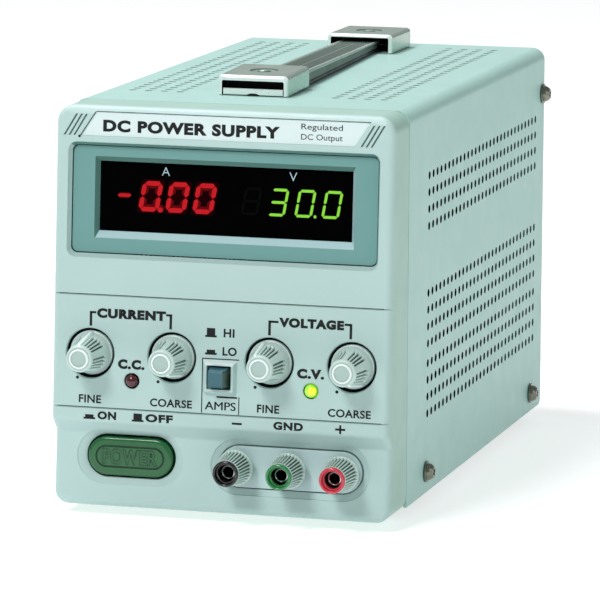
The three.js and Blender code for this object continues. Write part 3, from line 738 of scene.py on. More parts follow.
def front_outline(bm, step_count=6):
    """The fillet round the front, as vertex loops from the front surface out to the side walls."""
    rings = []
    for turn in reversed(quarter_turn(step_count)):
        right = []
        for x, z, nx, nz, r in SAMPLES:
            shrink = r * (1 - math.cos(turn))
            level = z - nz * shrink
            right.append((x - nx * shrink, face_y(level) + r * (1 - math.sin(turn)), level))
        rings.append(mirrored_ring(bm, right))
    return rings


def seam_ring(bm, y, shrink):
    """The outline at a depth behind the fillet, moved inward by shrink."""
    return mirrored_ring(bm, [(x - nx * shrink, y, z - nz * shrink) for x, z, nx, nz, _ in SAMPLES])


def bezel():
    bm = bmesh.new()
    fronts, backs = [], []
    through = [knob_well(bm, name) for name in KNOBS]
    through += [led_hole(bm, x) for x in LED_X.values()]
    through += [display_recess(bm), range_guard(bm), dish(bm, POWER_DISH), dish(bm, TERMINAL_DISH)]
    for loops in through:
        fronts.append(loops[0])
        backs.append(loops[-1])
    fronts.append(sunk(bm, PLATE_OUTLINE, PLATE_DEPTH, PLATE))
    # The stripes' floors take the line finish, a painted shade.
    fronts += [sunk(bm, stripe_outline(x), STRIPE["depth"], LINE) for x in STRIPES_LOW_X]

    rings = front_outline(bm)
    count = len(SAMPLES)
    lines = [(rings[0][i], rings[0][2 * count - 1 - i]) for i in range(1, count - 1)]
    fill(bm, rings[0], fronts, lines, unrolled)
    # The floors of the grooves across the front take the line finish, a painted shade.
    for face in bm.faces:
        if any(all(-1e-4 < v.co.z - g < GROOVE_HALF + 1e-4 for v in face.verts) for g in GROOVES):
            face.material_index = LINE
    side_from = len(rings) - 1
    rings += [seam_ring(bm, -0.3, 0), seam_ring(bm, 0, 0.25)]
    # The side faces take a darker, more olive copy of the bezel's colour as painted shade.
    skin(bm, rings, lambda band: SIDE if band >= side_from else FACE)

    inner_half = HALF - SHEET - 0.3
    lip_outline = rounded((-inner_half, inner_half), (0.3, TOP - 1.6), (2, 5))
    hollow = rounded((-inner_half + 1.6, inner_half - 1.6), (1.9, TOP - 3.2), (1.5, 3.5))
    back_levels = [z for z, _ in STEP]
    hollow = with_crossings(hollow, crossings(hollow, back_levels), True)
    lip = [loop(bm, lip_outline, 0), loop(bm, lip_outline, 5)]
    inside = [loop(bm, hollow, 5), loop(bm, hollow, lambda z: base_y(z) + WALL)]
    fill(bm, rings[-1], [lip[0]])
    bridge(bm, *lip)
    fill(bm, lip[1], [inside[0]])
    bridge(bm, *inside)
    fill(bm, inside[1], backs, level_pairs(inside[1], back_levels))
    return piece("bezel", bm, BEZEL_FINISHES, replaces=["front_bezel"])


bezel()

# ---- Cover -----------------------------------------------------------------------------------------
BEND = 5.0
VENT_RADIUS = 1.55
VENT_FIRST_Y = 30.0
VENT_PITCH_Y = 5.917
VENT_COLUMNS = 30
VENT_SIDE_ROWS = (119.2, 112.9, 106.6, 100.3, 75.2, 68.9, 62.6, 56.2, 48.8, 42.5, 36.2, 29.8)
VENT_TOP_ROWS = (30.1, 36.3, 42.5, 48.7)
VENT_TOP_MIDDLE = -2.2
REAR_CORNER = 3.0
COVER_FINISHES = ["cover", "hole_front", "hole_middle", "hole_rear", "hole_top"]
HOLE_SHADE_LIMITS = (85, 145)
TOP_HOLE_SHADE = COVER_FINISHES.index("hole_top")


def vents(rows):
    """Ventilation holes in rows along Y, as outlines of (y, across)."""
    places = [VENT_FIRST_Y + i * VENT_PITCH_Y for i in range(VENT_COLUMNS)]
    return [circle(y, across, VENT_RADIUS, 14) for across in rows for y in places]


def hole_shade_by_place(ring):
    """The painted shade of a hole's wall in the side, by its place along the case."""
    return 1 + sum(ring[0].co.y > limit for limit in HOLE_SHADE_LIMITS)


def sheet_panel(bm, outline, holes, outer, inner, flat, open_edges, hole_shade_of):
    """Sheet metal between two placements of one outline, with the rim closed but for some edges."""
    rims, cuts = [], []
    for place in (outer, inner):
        rim = [bm.verts.new(place(u, v)) for u, v in outline]
        rings = [[bm.verts.new(place(u, v)) for u, v in hole] for hole in holes]
        fill(bm, rim, rings, (), flat)
        rims.append(rim)
        cuts.append(rings)
    # The hole walls take painted shade.
    for first, second in zip(*cuts):
        bridge(bm, first, second, hole_shade_of(first))
    for i in range(len(outline)):
        if i not in open_edges:
            j = (i + 1) % len(outline)
            bm.faces.new((rims[0][i], rims[0][j], rims[1][j], rims[1][i]))


def cover_sides(bm, front, bend_z):
    corner = [(REAR - REAR_CORNER * (1 - math.sin(a)), REAR_CORNER * (1 - math.cos(a)))
              for a in quarter_turn(6)]
    outline = [(front, bend_z), (front, 0), *corner, (REAR, bend_z)]
    for sign in (-1, 1):
        sheet_panel(bm, outline, vents(VENT_SIDE_ROWS), lambda y, z: (sign * HALF, y, z),
                    lambda y, z: (sign * (HALF - SHEET), y, z), yz, [len(outline) - 1], hole_shade_by_place)


def cover_top(bm, front, half_top):
    rows = [VENT_TOP_MIDDLE + sign * x for sign in (-1, 1) for x in VENT_TOP_ROWS]
    outline = [(front, -half_top), (REAR, -half_top), (REAR, half_top), (front, half_top)]
    sheet_panel(bm, outline, vents(rows), lambda y, x: (x, y, TOP), lambda y, x: (x, y, TOP - SHEET),
                lambda co: Vector((co.y, co.x)), [0, 2], lambda ring: TOP_HOLE_SHADE)


def cover_bend(bm, sign, front, half_top, bend_z):
    """The rounded bend between the top and one side."""
    rows = []
    for radius in (BEND, BEND - SHEET):
        for y in (front, REAR):
            rows.append([bm.verts.new((sign * (half_top + radius * math.cos(a)), y,
                                       bend_z + radius * math.sin(a))) for a in quarter_turn(10)])
    for first, second in ((0, 1), (2, 3), (0, 2), (1, 3)):
        bridge(bm, rows[first], rows[second], closed=False)


def cover():
    bm = bmesh.new()
    front, bend_z, half_top = COVER_GAP / 2, TOP - BEND, HALF - BEND
    cover_sides(bm, front, bend_z)
    cover_top(bm, front, half_top)
    for sign in (-1, 1):
        cover_bend(bm, sign, front, half_top, bend_z)
    return piece("case_cover", bm, COVER_FINISHES, replaces=["cover"])


cover()

# ---- Display ---------------------------------------------------------------------------------------
FRAME_FRONT = 2.75
GLASS_FRONT = 5.5
GLASS_SPAN = ((-48.4, 47.6), (100.4, 125.95))
BEVEL_SPAN = ((-49.5, 49.0), (98.1, 127.9))
SURROUND_SPAN = ((-57.92, 57.72), (92.65, 131.72))


def display_frame():
    """The teal surround. Its glossy bevel round the glass has a painted highlight, and painted shade above
    and at the left.
    """
    bevel, shaded = 1, 2
    bm = bmesh.new()
    outer = rounded(*SURROUND_SPAN, 2.3, 8)
    mouth = rounded(*BEVEL_SPAN, 0.35, 8)
    opening = rounded(*GLASS_SPAN, 0.15, 8)
    loops = lofted(bm, [(opening, on_face(GLASS_FRONT + 0.3)), (opening, on_face(GLASS_FRONT - 0.35)),
                        (mouth, on_face(FRAME_FRONT + 0.05)), (inset(mouth, -0.12), on_face(FRAME_FRONT))],
                   lambda band: bevel if band == 1 else 0)
    for face in bm.faces:
        middle = face.calc_center_median()
        dark = middle.z > GLASS_SPAN[1][1] or middle.x < GLASS_SPAN[0][0]
        if face.material_index == bevel and dark:
            face.material_index = shaded
    sides = lofted(bm, [(inset(outer, 0.15), on_face(FRAME_FRONT)), (outer, on_face(FRAME_FRONT + 0.15)),
                        (outer, on_face(GLASS_FRONT + 0.3))])
    fill(bm, sides[0], [loops[-1]])
    fill(bm, sides[-1], [loops[0]])
    return piece("display_surround", bm, ["teal", "bevel", "bevel_dark"], replaces=["display_frame"])


def display_glass():
    bm = bmesh.new()
    (x0, x1), (z0, z1) = GLASS_SPAN
    outline = rounded((x0 - 2, x1 + 2), (z0 - 2, z1 + 2), 0.6, 3)
    loops = lofted(bm, [(inset(outline, 0.1), on_face(GLASS_FRONT + 0.35)),
                        (outline, on_face(GLASS_FRONT + 0.45)), (outline, on_face(GLASS_FRONT + 1.9))])
    cap_off(bm, loops[0])
    cap_off(bm, loops[-1])
    return piece("display_glass", bm, "window", replaces=["display_window"])


def slab(bm, points, front, back):
    """A thin flat shape that follows the front surface between two depths."""
    points = with_crossings(points, crossings(points, LEVELS), True)
    for ring in lofted(bm, [(points, front), (points, back)]):
        fill(bm, ring, (), level_pairs(ring, LEVELS), unrolled)


SEGMENTS = {"0": "abcdef", "3": "abcdg", "8": "abcdefg", "-": "g"}
SLANT = 0.17
AMPERES = {"low": 108.0, "lefts": (-33.9, -23.6, -13.3), "size": (7.9, 11.2), "dot": -25.3}
VOLTS = {"low": 108.45, "lefts": (15.3, 25.5, 35.6), "size": (6.6, 10.1), "dot": 33.35, "unlit": 5.2}
FIGURE_DEPTH, GLOW_DEPTH, HAZE_DEPTH, PRINT_BACK = 0.24, 0.3, 0.33, 0.36


def segment(name, width, height, thick):
    """One bar of a seven-segment figure, as a pointed outline from the figure's lower left corner."""
    half, gap = thick / 2, 0.12
    mid = height / 2
    if name in "agd":
        z = {"a": height - half, "g": mid, "d": half}[name]
        x0, x1 = half + gap, width - half - gap
        return [(x0, z), (x0 + half, z - half), (x1 - half, z - half), (x1, z), (x1 - half, z + half),
                (x0 + half, z + half)]
    x = half if name in "fe" else width - half
    z = mid if name in "fb" else half
    z0, z1 = z + gap, z + mid - half - gap
    return [(x, z0), (x + half, z0 + half), (x + half, z1 - half), (x, z1), (x - half, z1 - half),
            (x - half, z0 + half)]


def figures(name, text, lefts, size, thick, key, dots=(), depth=FIGURE_DEPTH, low=AMPERES["low"]):
    """Figures on the glass: text's characters at the given left edges, slanted."""
    bm = bmesh.new()
    front, back = on_face(GLASS_FRONT + depth), on_face(GLASS_FRONT + PRINT_BACK)
    for character, left in zip(text, lefts):
        for name_of_bar in SEGMENTS[character]:
            outline = [(left + x + SLANT * z, low + z) for x, z in segment(name_of_bar, *size, thick)]
            slab(bm, outline, front, back)
    for x in dots:
        slab(bm, circle(x, low + thick * 0.45, thick * 0.55, 14), front, back)
    return piece(name, bm, key)


def haze():
    """The faint light round the ampere figures, as flat patches on the glass behind them."""
    bm = bmesh.new()
    for left in AMPERES["lefts"]:
        outline = rounded((left - 0.7, left + 8.6), (107.3, 119.9), 1.6, 4)
        slab(bm, [(x + SLANT * (z - AMPERES["low"]), z) for x, z in outline],
             on_face(GLASS_FRONT + HAZE_DEPTH), on_face(GLASS_FRONT + PRINT_BACK))
    return piece("ampere_haze", bm, "red_haze")


def readouts():
    lefts, size, dots = AMPERES["lefts"], AMPERES["size"], (AMPERES["dot"],)
    haze()
    figures("ampere_glow", "000", lefts, size, 2.7, "red_glow", dots, GLOW_DEPTH)
    figures("ampere_sign_glow", "-", (-43.65,), (7.2, 11.2), 1.9, "red_glow", (), GLOW_DEPTH)
    figures("ampere_figures", "000", lefts, size, 1.7, "red_digit", dots)
    figures("ampere_sign", "-", (-43.35,), (6.6, 11.2), 1.2, "red_digit")
    low, size = VOLTS["low"], VOLTS["size"]
    figures("volt_figures", "300", VOLTS["lefts"], size, 1.0, "green_digit", (VOLTS["dot"],), low=low)
    figures("volt_unlit_figure", "8", (VOLTS["unlit"],), size, 1.0, "unlit_digit", low=low)


display_frame()
display_glass()
readouts()


# ---- Lettering -------------------------------------------------------------------------------------
def letter_mesh(text, weight):
    curve = bpy.data.curves.new("lettering", "FONT")
    curve.body = text
    curve.offset = weight
    curve.space_character = 1 + 2.2 * weight
    curve.extrude = 0.5
    curve.resolution_u = 4
    holder = bpy.data.objects.new("lettering", curve)
    bpy.context.scene.collection.objects.link(holder)
    bpy.context.view_layer.update()
    mesh = bpy.data.meshes.new_from_object(holder.evaluated_get(bpy.context.evaluated_depsgraph_get()))
    bpy.data.objects.remove(holder)
    bpy.data.curves.remove(curve)
    return mesh


def letters(bm, text, left, right, low, height, weight, place):
    """Adds letters fitted between left and right, with that height above low.

    place gives a vertex's point from its x, its z and its share of the letters' thickness.
    """
    mesh = letter_mesh(text, weight)
    known = set(bm.verts)
    bm.from_mesh(mesh)
    bpy.data.meshes.remove(mesh)
    new = [v for v in bm.verts if v not in known]
    xs, zs = [v.co.x for v in new], [v.co.y for v in new]
    x0, z0 = min(xs), min(zs)
    scale_x = (right - left) / (max(xs) - x0)
    scale_z = height / (max(zs) - z0)
    for v in new:
        v.co = place(left + (v.co.x - x0) * scale_x, low + (v.co.y - z0) * scale_z, 0.5 + v.co.z)
    return new


def write(bm, text, left, right, low, height, weight=0.0, depth=0.0, thick=0.06, index=0):
    """Letters on the front surface, or at a depth behind it."""
    new = letters(bm, text, left, right, low, height, weight,
                  lambda x, z, share: Vector((x, face_y(z) + depth - share * thick, z)))
    for face in {f for v in new for f in v.link_faces}:
        face.material_index = index


def print_on(bm, points):
    """A printed shape on the front surface."""
    slab(bm, points, on_face(-0.06), on_face(0.02))


def bar(bm, start, end, width):
    """A printed line on the front surface."""
    (x0, z0), (x1, z1) = start, end
    half = width / 2
    if abs(x1 - x0) > abs(z1 - z0):
        points = [(x0, z0 - half), (x1, z1 - half), (x1, z1 + half), (x0, z0 + half)]
    else:
        points = [(x0 - half, z0), (x0 + half, z0), (x1 + half, z1), (x1 - half, z1)]
    print_on(bm, points)


def push_icon(bm, x, low, width, height):
    """The sign for a button that is out or in: a block on a line."""
    bar(bm, (x, low + 0.35), (x + width, low + 0.35), 0.7)
    bar(bm, (x + width / 2, low + 0.6), (x + width / 2, low + height), width * 0.72)


WORDS = (  # text, left, right, low, height, weight
    ("CURRENT", -46.9, -20.5, 69.15, 3.6, 0.066), ("VOLTAGE", 22.4, 46.8, 69.3, 3.5, 0.066),
    ("C.C.", -38.5, -28.3, 50.85, 3.6, 0.066), ("C.V.", 29.6, 39.8, 51.05, 3.6, 0.066),
    ("FINE", -53.3, -44.75, 37.75, 2.95, 0.024), ("FINE", 14.8, 23.2, 37.75, 2.95, 0.024),
    ("COARSE", -25.95, -9.9, 37.75, 2.95, 0.024), ("COARSE", 41.5, 57.6, 37.75, 2.95, 0.024),
    ("HI", 1.6, 5.7, 64.5, 3.1, 0.03), ("LO", 1.3, 6.7, 57.8, 3.1, 0.03),
    ("ON", -46.0, -38.8, 31.85, 3.0, 0.052), ("OFF", -27.6, -17.1, 31.85, 3.0, 0.052),
    ("GND", 21.1, 32.3, 31.85, 3.0, 0.052),
)
PLATE_WORDS = (
    ("DC POWER SUPPLY", -46.0, 21.0, 137.2, 4.4, 0.052), ("Regulated", 29.0, 44.5, 140.4, 2.7, 0.0),
    ("DC Output", 29.0, 44.5, 136.7, 2.7, 0.0),
)
BARS = (  # start, end, width
    ((5.4, 33.2), (9.2, 33.2), 0.75), ((44.4, 33.3), (48.2, 33.3), 0.75), ((46.3, 31.7), (46.3, 34.9), 0.75),
    ((-6.2, 36.5), (-6.2, 56.6), 0.35), ((-6.2, 56.45), (7.75, 56.45), 0.35),
    ((-0.6, 42.6), (7.2, 42.6), 0.6), ((7.9, 36.5), (7.9, 42.9), 0.35),
    # The last two bars are black lines that paint the shade along the name plate recess's slanted left edge
    # and top.
    ((-54.6, 135.5), (-48.75, 144.4), 0.4), ((-48.6, 144.5), (55.0, 144.5), 0.22),
)
BRACKETS = ((-49.2, -47.2, -20.4, -18.6), (18.9, 22.2, 47.0, 49.4))
PUSH_ICONS = ((-5.4, 64.3, 4.4, 3.3), (-5.3, 57.9, 4.4, 1.8), (-51.4, 31.75, 4.5, 1.7),
              (-32.8, 31.75, 4.5, 3.0))
KNOB_DOTS_X = (-54.0, -23.0, 13.9, 44.7)


def bracket(bm, left, gap_left, gap_right, right):
    """The line that joins two knobs, with a gap for their word."""
    bar(bm, (left, 66.1), (left, 71.3), 0.95)
    bar(bm, (right, 66.3), (right, 71.7), 0.95)
    bar(bm, (left - 0.47, 71.1), (gap_left, 71.1), 0.8)
    bar(bm, (gap_right, 71.4), (right + 0.47, 71.4), 0.8)


def labels():
    bm = bmesh.new()
    for word in WORDS:
        write(bm, *word)
    for word in PLATE_WORDS:
        write(bm, *word, PLATE_DEPTH)
    for shift in (-0.07, 0.07):
        write(bm, "AMPS", -4.95 + shift, 6.7 + shift, 37.8, 3.0, thick=0.06 + shift / 10)
    for ends in BRACKETS:
        bracket(bm, *ends)
    for icon in PUSH_ICONS:
        push_icon(bm, *icon)
    for line in BARS:
        bar(bm, *line)
    for x in KNOB_DOTS_X:
        print_on(bm, circle(x, 46.9, 0.6, 16))
    print_on(bm, circle(-54.9, 135.3, 0.5, 12))
    return piece("front_lettering", bm, "print")


def unit_marks():
    bm = bmesh.new()
    depth = GLASS_FRONT + PRINT_BACK
    write(bm, "A", -24.9, -21.9, 121.35, 3.1, -0.012, depth)
    write(bm, "V", 23.4, 26.3, 121.4, 3.2, -0.012, depth)
    return piece("unit_marks", bm, "white_digit")


labels()
unit_marks()

# ---- Knobs -----------------------------------------------------------------------------------------
FLUTE_GROUPS = (40, 113, 180, 247, 320)
FLUTES_PER_GROUP = 4
FLUTE_PITCH = 12.5
FLUTE_HALF = 4.1
FLUTE_DEPTH = 0.75
KNOB_FINISHES = ["knob", "pointer", "groove", "knob_tip"]
PLASTIC, POINTER, GROOVE, TIP = range(len(KNOB_FINISHES))
KNOB_TIP_Y = -39.3


def flute_angles():
    spread = [(i - (FLUTES_PER_GROUP - 1) / 2) * FLUTE_PITCH for i in range(FLUTES_PER_GROUP)]
    return [group + shift for group in FLUTE_GROUPS for shift in spread]


def knob_angles(flutes):
    """Angles from the pointer, with each flute's edges and floor marked: (degrees, depth share)."""
    stops = {}
    for centre in flutes:
        for shift, share in ((-FLUTE_HALF, 0), (-FLUTE_HALF * 0.72, 1), (FLUTE_HALF * 0.72, 1),
                             (FLUTE_HALF, 0)):
            stops[round(centre + shift, 3)] = share
    for plain in range(0, 360, 6):
        if all(abs((plain - a + 180) % 360 - 180) > FLUTE_HALF + 1.5 for a in flutes):
            stops[float(plain)] = 0
    return sorted(stops.items())


def fluted(bm, stations, angles, x, z, turn, groove):
    """A turned body whose flutes are cut where a station says. Stations are (radius, y, cut)."""
    loops = []
    for radius, y, cut in stations:
        points = []
        for degrees, share in angles:
            a = math.radians(degrees + turn)
            r = radius - cut * share
            points.append((x + r * math.sin(a), z + r * math.cos(a)))
        loops.append(loop(bm, points, y))
    # Faces on the floors of deep flutes take the groove finish, a painted shade.
    for k, (first, second) in enumerate(zip(loops, loops[1:])):
        deep = stations[k][2] > 0.1 and stations[k + 1][2] > 0.1
        for i in range(len(first)):
            j = (i + 1) % len(first)
            face = bm.faces.new((first[i], first[j], second[j], second[i]))
            face.material_index = groove if deep and angles[i][1] and angles[j][1] else 0
    return loops


def turned_box(bm, section, x, z, turn, index=0):
    """A bar along a knob's pointer. Its section lists (y, inner radius, outer radius, half width)."""
    a = math.radians(turn)
    out, side = Vector((math.sin(a), math.cos(a))), Vector((math.cos(a), -math.sin(a)))
    loops = []
    for y, inner, outer, half in section:
        corners = []
        for r, w in ((inner, -half), (inner, half), (outer - 0.2, half), (outer, half * 0.6),
                     (outer, -half * 0.6), (outer - 0.2, -half)):
            spot = Vector((x, z)) + out * r + side * w
            corners.append((spot.x, spot.y))
        loops.append(loop(bm, corners, y))
    skin(bm, loops, index)
    cap_off(bm, loops[0], index)
    cap_off(bm, loops[-1], index)


def knob(name):
    bm = bmesh.new()
    x, z = knob_centre(name)
    turn = KNOBS[name]
    tip = case_box(f"{name}_knob")[0].y
    angles = knob_angles(flute_angles())
    stations = [(2.95, -11.6, 0), (2.95, -23.1, 0), (7.9, -23.1, 0), (8.2, -23.4, 0), (8.2, -24.5, 0),
                (8.05, -24.85, 0), (7.7, -25.05, 0), (7.3, -25.9, 0), (7.05, -27.2, 0), (6.95, -28.0, 0.05),
                (6.8, -28.5, FLUTE_DEPTH), (6.2, -31.5, FLUTE_DEPTH), (5.45, -36.0, FLUTE_DEPTH * 0.9),
                (5.2, -37.4, FLUTE_DEPTH * 0.75), (5.12, -37.9, 0.04), (4.98, -38.5, 0), (4.72, -39.0, 0),
                (4.3, -39.3, 0), (3.62, -39.4, 0), (3.5, -39.45, 0), (3.38, tip + 0.05, 0), (3.2, tip, 0),
                (3.02, tip + 0.05, 0), (2.9, -39.45, 0), (2.75, -39.38, 0), (1.2, -39.34, 0)]
    loops = fluted(bm, stations, angles, x, z, turn, GROOVE)
    # The raised ring round the tip takes the pointer's white as a painted highlight.
    for first, second in zip(loops[-8:-4], loops[-7:-3]):
        for face in {f for v in first for f in v.link_faces if set(f.verts) & set(second)}:
            face.material_index = POINTER
    cap_off(bm, loops[0])
    # The tip's front faces take a darker copy of the knob's colour as painted shade.
    cap_off(bm, loops[-1], TIP)
    for face in bm.faces:
        if face.calc_center_median().y < KNOB_TIP_Y and face.material_index == PLASTIC:
            face.material_index = TIP
    turned_box(bm, [(-38.75, 3.9, 5.0, 0.75), (-38.0, 3.9, 5.55, 0.85), (-33.5, 4.5, 6.35, 1.0),
                    (-29.0, 5.0, 7.1, 1.15), (-26.6, 5.0, 7.6, 1.2), (-24.7, 5.0, 8.0, 1.2)], x, z, turn)
    turned_box(bm, [(-39.0, 3.95, 4.62, 0.35), (-38.75, 4.0, 5.06, 0.4), (-38.0, 4.0, 5.61, 0.44),
                    (-33.5, 4.5, 6.41, 0.52), (-29.0, 5.0, 7.16, 0.6), (-26.7, 5.0, 7.64, 0.62),
                    (-25.4, 5.0, 7.92, 0.62)], x, z, turn, POINTER)
    return piece(f"{name}_dial", bm, KNOB_FINISHES, f"{name}_knob", [f"{name}_knob"])


for knob_name in KNOBS:
    knob(knob_name)


# ---- Indicator lamps and buttons -------------------------------------------------------------------
def lamp(node, keys):
    bm = bmesh.new()
    x = LED_X[node]
    low, high = case_box(node)
    front, back = low.y, high.y
    radius = 2.35
    dome = [(radius * math.cos(a), front + radius * (1 - math.sin(a)) * 0.8) for a in quarter_turn(8)]
    profile = [(0, front)] + [p for p in reversed(dome) if p[0] > 0.01] + [
        (radius, back - 1.0), (3.2, back - 1.0), (3.3, back - 0.8), (3.3, back), (0, back)]
    turned(bm, profile, x, LED_Z, 32)
    for face in bm.faces:
        middle = face.calc_center_median()
        if middle.y < front + 1.4 and math.hypot(middle.x - x - 0.75, middle.z - LED_Z - 0.2) < 1.35:
            face.material_index = 1
    return piece(f"{node}_dome", bm, keys, replaces=[node])


lamp("cc_led", ["red_lens", "red_lens"])
lamp("cv_led", ["green_lens", "lamp_heart"])


def range_button():
    """A key whose sloping upper side has painted light and whose right side has painted shade."""
    top, right = 1, 2
    bm = bmesh.new()
    low, high = case_box("range_button")
    x, z = middle_of("range_button")
    front = low.y
    sizes = [(4.6, 4.8, 0.5, front + 0.12), (5.3, 5.5, 0.5, front), (5.8, 6.0, 0.4, front + 0.2),
             (6.0, 6.2, 0.4, front + 0.6), (7.7, 7.3, 0.5, -26.6), (8.2, 7.6, 0.4, -26.1),
             (8.4, 7.8, 0.3, -25.6), (8.4, 7.8, 0.3, -20.2), (4, 4, 0.2, -20.0), (4, 4, 0.2, high.y)]
    loops = lofted(bm, [(panel(x, z, *size), y) for *size, y in sizes])
    cap_off(bm, loops[0])
    cap_off(bm, loops[-1])
    for face in bm.faces:
        middle = face.calc_center_median() - Vector((x, 0, z))
        if middle.y < -20.5 and max(abs(middle.x), abs(middle.z)) > 2.5:
            face.material_index = top if middle.z > abs(middle.x) else right * (middle.x > abs(middle.z))
    return piece("range_key", bm, ["button", "button_top", "button_side"], "range_button", ["range_button"])


def power_button():
    bm = bmesh.new()
    low, high = case_box("power_button")
    x, z = (low.x + high.x) / 2, POWER_DISH["z"]
    front = low.y
    half_width, half_height = (high.x - low.x) / 2 - 0.2, 7.15
    lean, stem_front, engraved = 0.054, -14.0, 1

    def leaning(depth):
        return lambda level: front + depth + lean * (level - z + half_height)

    def outline(shrink):
        return stadium(x, z, half_width - shrink, half_height - shrink)

    steps = [(0, 1.1), (0.12, 0.7), (0.4, 0.35), (0.8, 0.15), (1.4, 0.04), (3.0, 0.0), (3.05, 0.05),
             (3.12, 0.4), (3.6, 0.42), (3.68, 0.08), (3.85, 0.03)]
    rings = [(outline(0), stem_front)] + [(outline(shrink), leaning(depth)) for shrink, depth in steps]
    # The engraved line and the outlines round the letters take a darker green as painted shade.
    loops = lofted(bm, rings, lambda band: engraved if 7 <= band <= 9 else 0)
    cap_off(bm, loops[-1])
    stem = panel(x, z, 4, 4, 0.3, 2)
    ends = lofted(bm, [(stem, stem_front), (stem, high.y)])
    fill(bm, loops[0], [ends[0]])
    cap_off(bm, ends[-1])
    known = set(bm.verts)
    for weight, thick, index in ((0.06, 0.07, engraved), (0.0, 0.1, 0)):
        spread = weight * 5.2 / 0.7
        write(bm, "POWER", x - 10.2 - spread, x + 10.2 + spread, z - 2.6 - spread, 5.2 + 2 * spread, weight,
              0.05, thick, index)
    for v in bm.verts:
        if v not in known:
            v.co.y += leaning(0.0)(v.co.z) - lower_plane(v.co.z)
    return piece("power_key", bm, ["power", "engraved"], "power_button", ["power_button"])


range_button()
power_button()

# ---- Output terminals ------------------------------------------------------------------------------
POSTS = {"negative": "black", "ground": "green", "positive": "red"}
POST_HOLE = 3.4


def terminal_plate():
    bm = bmesh.new()
    x, z = TERMINAL_DISH["x"], TERMINAL_DISH["z"]

    def plane(depth):
        return lambda level: lower_plane(level) + depth

    def outline(shrink):
        return stadium(x, z, 27.0 - shrink, 7.55 - shrink)

    flange = stadium(x, z, 29.5, 10)
    front = lofted(bm, [(outline(0.35), plane(0.5)), (outline(0.1), plane(0.6)), (outline(0), plane(0.85)),
                        (outline(0), plane(3)), (flange, plane(3)), (flange, plane(5))])
    holes = []
    for name in POSTS:
        px, pz = post_centre(name)
        holes.append(lofted(bm, [(circle(px, pz, POST_HOLE, 28), plane(0.5)),
                                 (circle(px, pz, POST_HOLE, 28), plane(5))]))
    fill(bm, front[0], [h[0] for h in holes])
    fill(bm, front[-1], [h[-1] for h in holes])
    return piece("terminal_panel", bm, "trim", replaces=["terminal_plate"])


def post_centre(name):
    return middle_of(f"{name}_post_ring")


def post_stud(name):
    """The threaded stud: a hollow socket in front, a nut behind the panel and a solder end."""
    socket = 1
    x, z = post_centre(name)
    back = case_box(f"{name}_post_stud")[1].y
    bm = bmesh.new()
    # The hollow socket is painted black as painted shade.
    turned(bm, [(2.0, -35.6), (2.0, -25), (0, -24)], x, z, 32, socket)
    profile = [(2.0, -35.6), (2.2, -35.75), (2.45, -35.7), (2.6, -35.5), (2.6, -25.1), (5.2, -25.1),
               (5.4, -24.9), (5.4, -24.1), (5.2, -23.9), (3.0, -23.9), (3.0, -17.6), (4.3, -17.5),
               (4.4, -14.4), (3.0, -14.3), (3.0, back)]
    rings = lofted(bm, [(circle(x, z, radius), y) for radius, y in profile])
    cap_off(bm, rings[-1])
    front = [f for f in bm.faces if len(f.verts) > 4 and f.calc_center_median().y < -30]
    bmesh.ops.delete(bm, geom=front, context="FACES")
    return piece(f"{name}_stud", bm, ["chrome", "socket"], replaces=[f"{name}_post_stud"])


def post_washer(name):
    bm = bmesh.new()
    inner, outer, front, back, r = 3.3, 5.6, -26.2, -25.2, 0.15
    profile = [(inner, back), (inner, front + r), (inner + r, front), (outer - r, front),
               (outer, front + r), (outer, back - r), (outer - r, back), (inner, back)]
    turned(bm, profile, *post_centre(name), 40)
    return piece(f"{name}_washer_disc", bm, "chrome", f"{name}_washer", [f"{name}_post_washer"])


def post_cap(name):
    """The fluted cap."""
    bm = bmesh.new()
    count, turn, groove = 30, 3, 1
    angles = []
    for centre in [360 * i / count for i in range(count)]:
        angles += [(centre - 4.0, 0), (centre - 3.2, 1), (centre + 3.2, 1), (centre + 4.0, 0)]
    stations = [(3.3, -26.5, 0), (6.1, -26.5, 0), (6.6, -26.7, 0), (6.7, -27.0, 0), (6.65, -27.5, 0),
                (6.5, -27.75, 0.05), (6.4, -28.0, 0.6), (5.75, -31.0, 0.6), (5.0, -37.6, 0.5),
                (4.95, -38.0, 0.03), (4.85, -38.3, 0), (3.3, -38.3, 0), (3.3, -26.5, 0)]
    fluted(bm, stations, angles, *post_centre(name), turn, groove)
    return piece(f"{name}_cap_body", bm, ["post_cap", "groove"], f"{name}_cap", [f"{name}_post_cap"])


def post_ring(name):
    """The coloured ring at the cap's front, with painted shade in its bore."""
    socket = 1
    x, z = post_centre(name)
    front = case_box(f"{name}_post_ring")[0].y
    bm = bmesh.new()
    profile = [(4.8, -38.6), (4.82, -39.4), (4.7, -39.75), (4.45, -39.95), (4.2, front), (3.95, -39.92),
               (3.75, -39.7), (3.45, -38.2), (3.0, -34.5), (3.0, -33.5), (3.25, -33.5), (3.25, -38.6)]
    rings = [loop(bm, circle(x, z, radius, 44), y) for radius, y in profile]
    skin(bm, rings + rings[:1], lambda band: socket if 7 <= band <= 9 else 0)
    return piece(f"{name}_ring", bm, [f"gloss_{POSTS[name]}", "socket"], f"{name}_cap",
                 [f"{name}_post_ring"])


terminal_plate()
for post_name in POSTS:
    for make in (post_stud, post_washer, post_cap, post_ring):
        make(post_name)

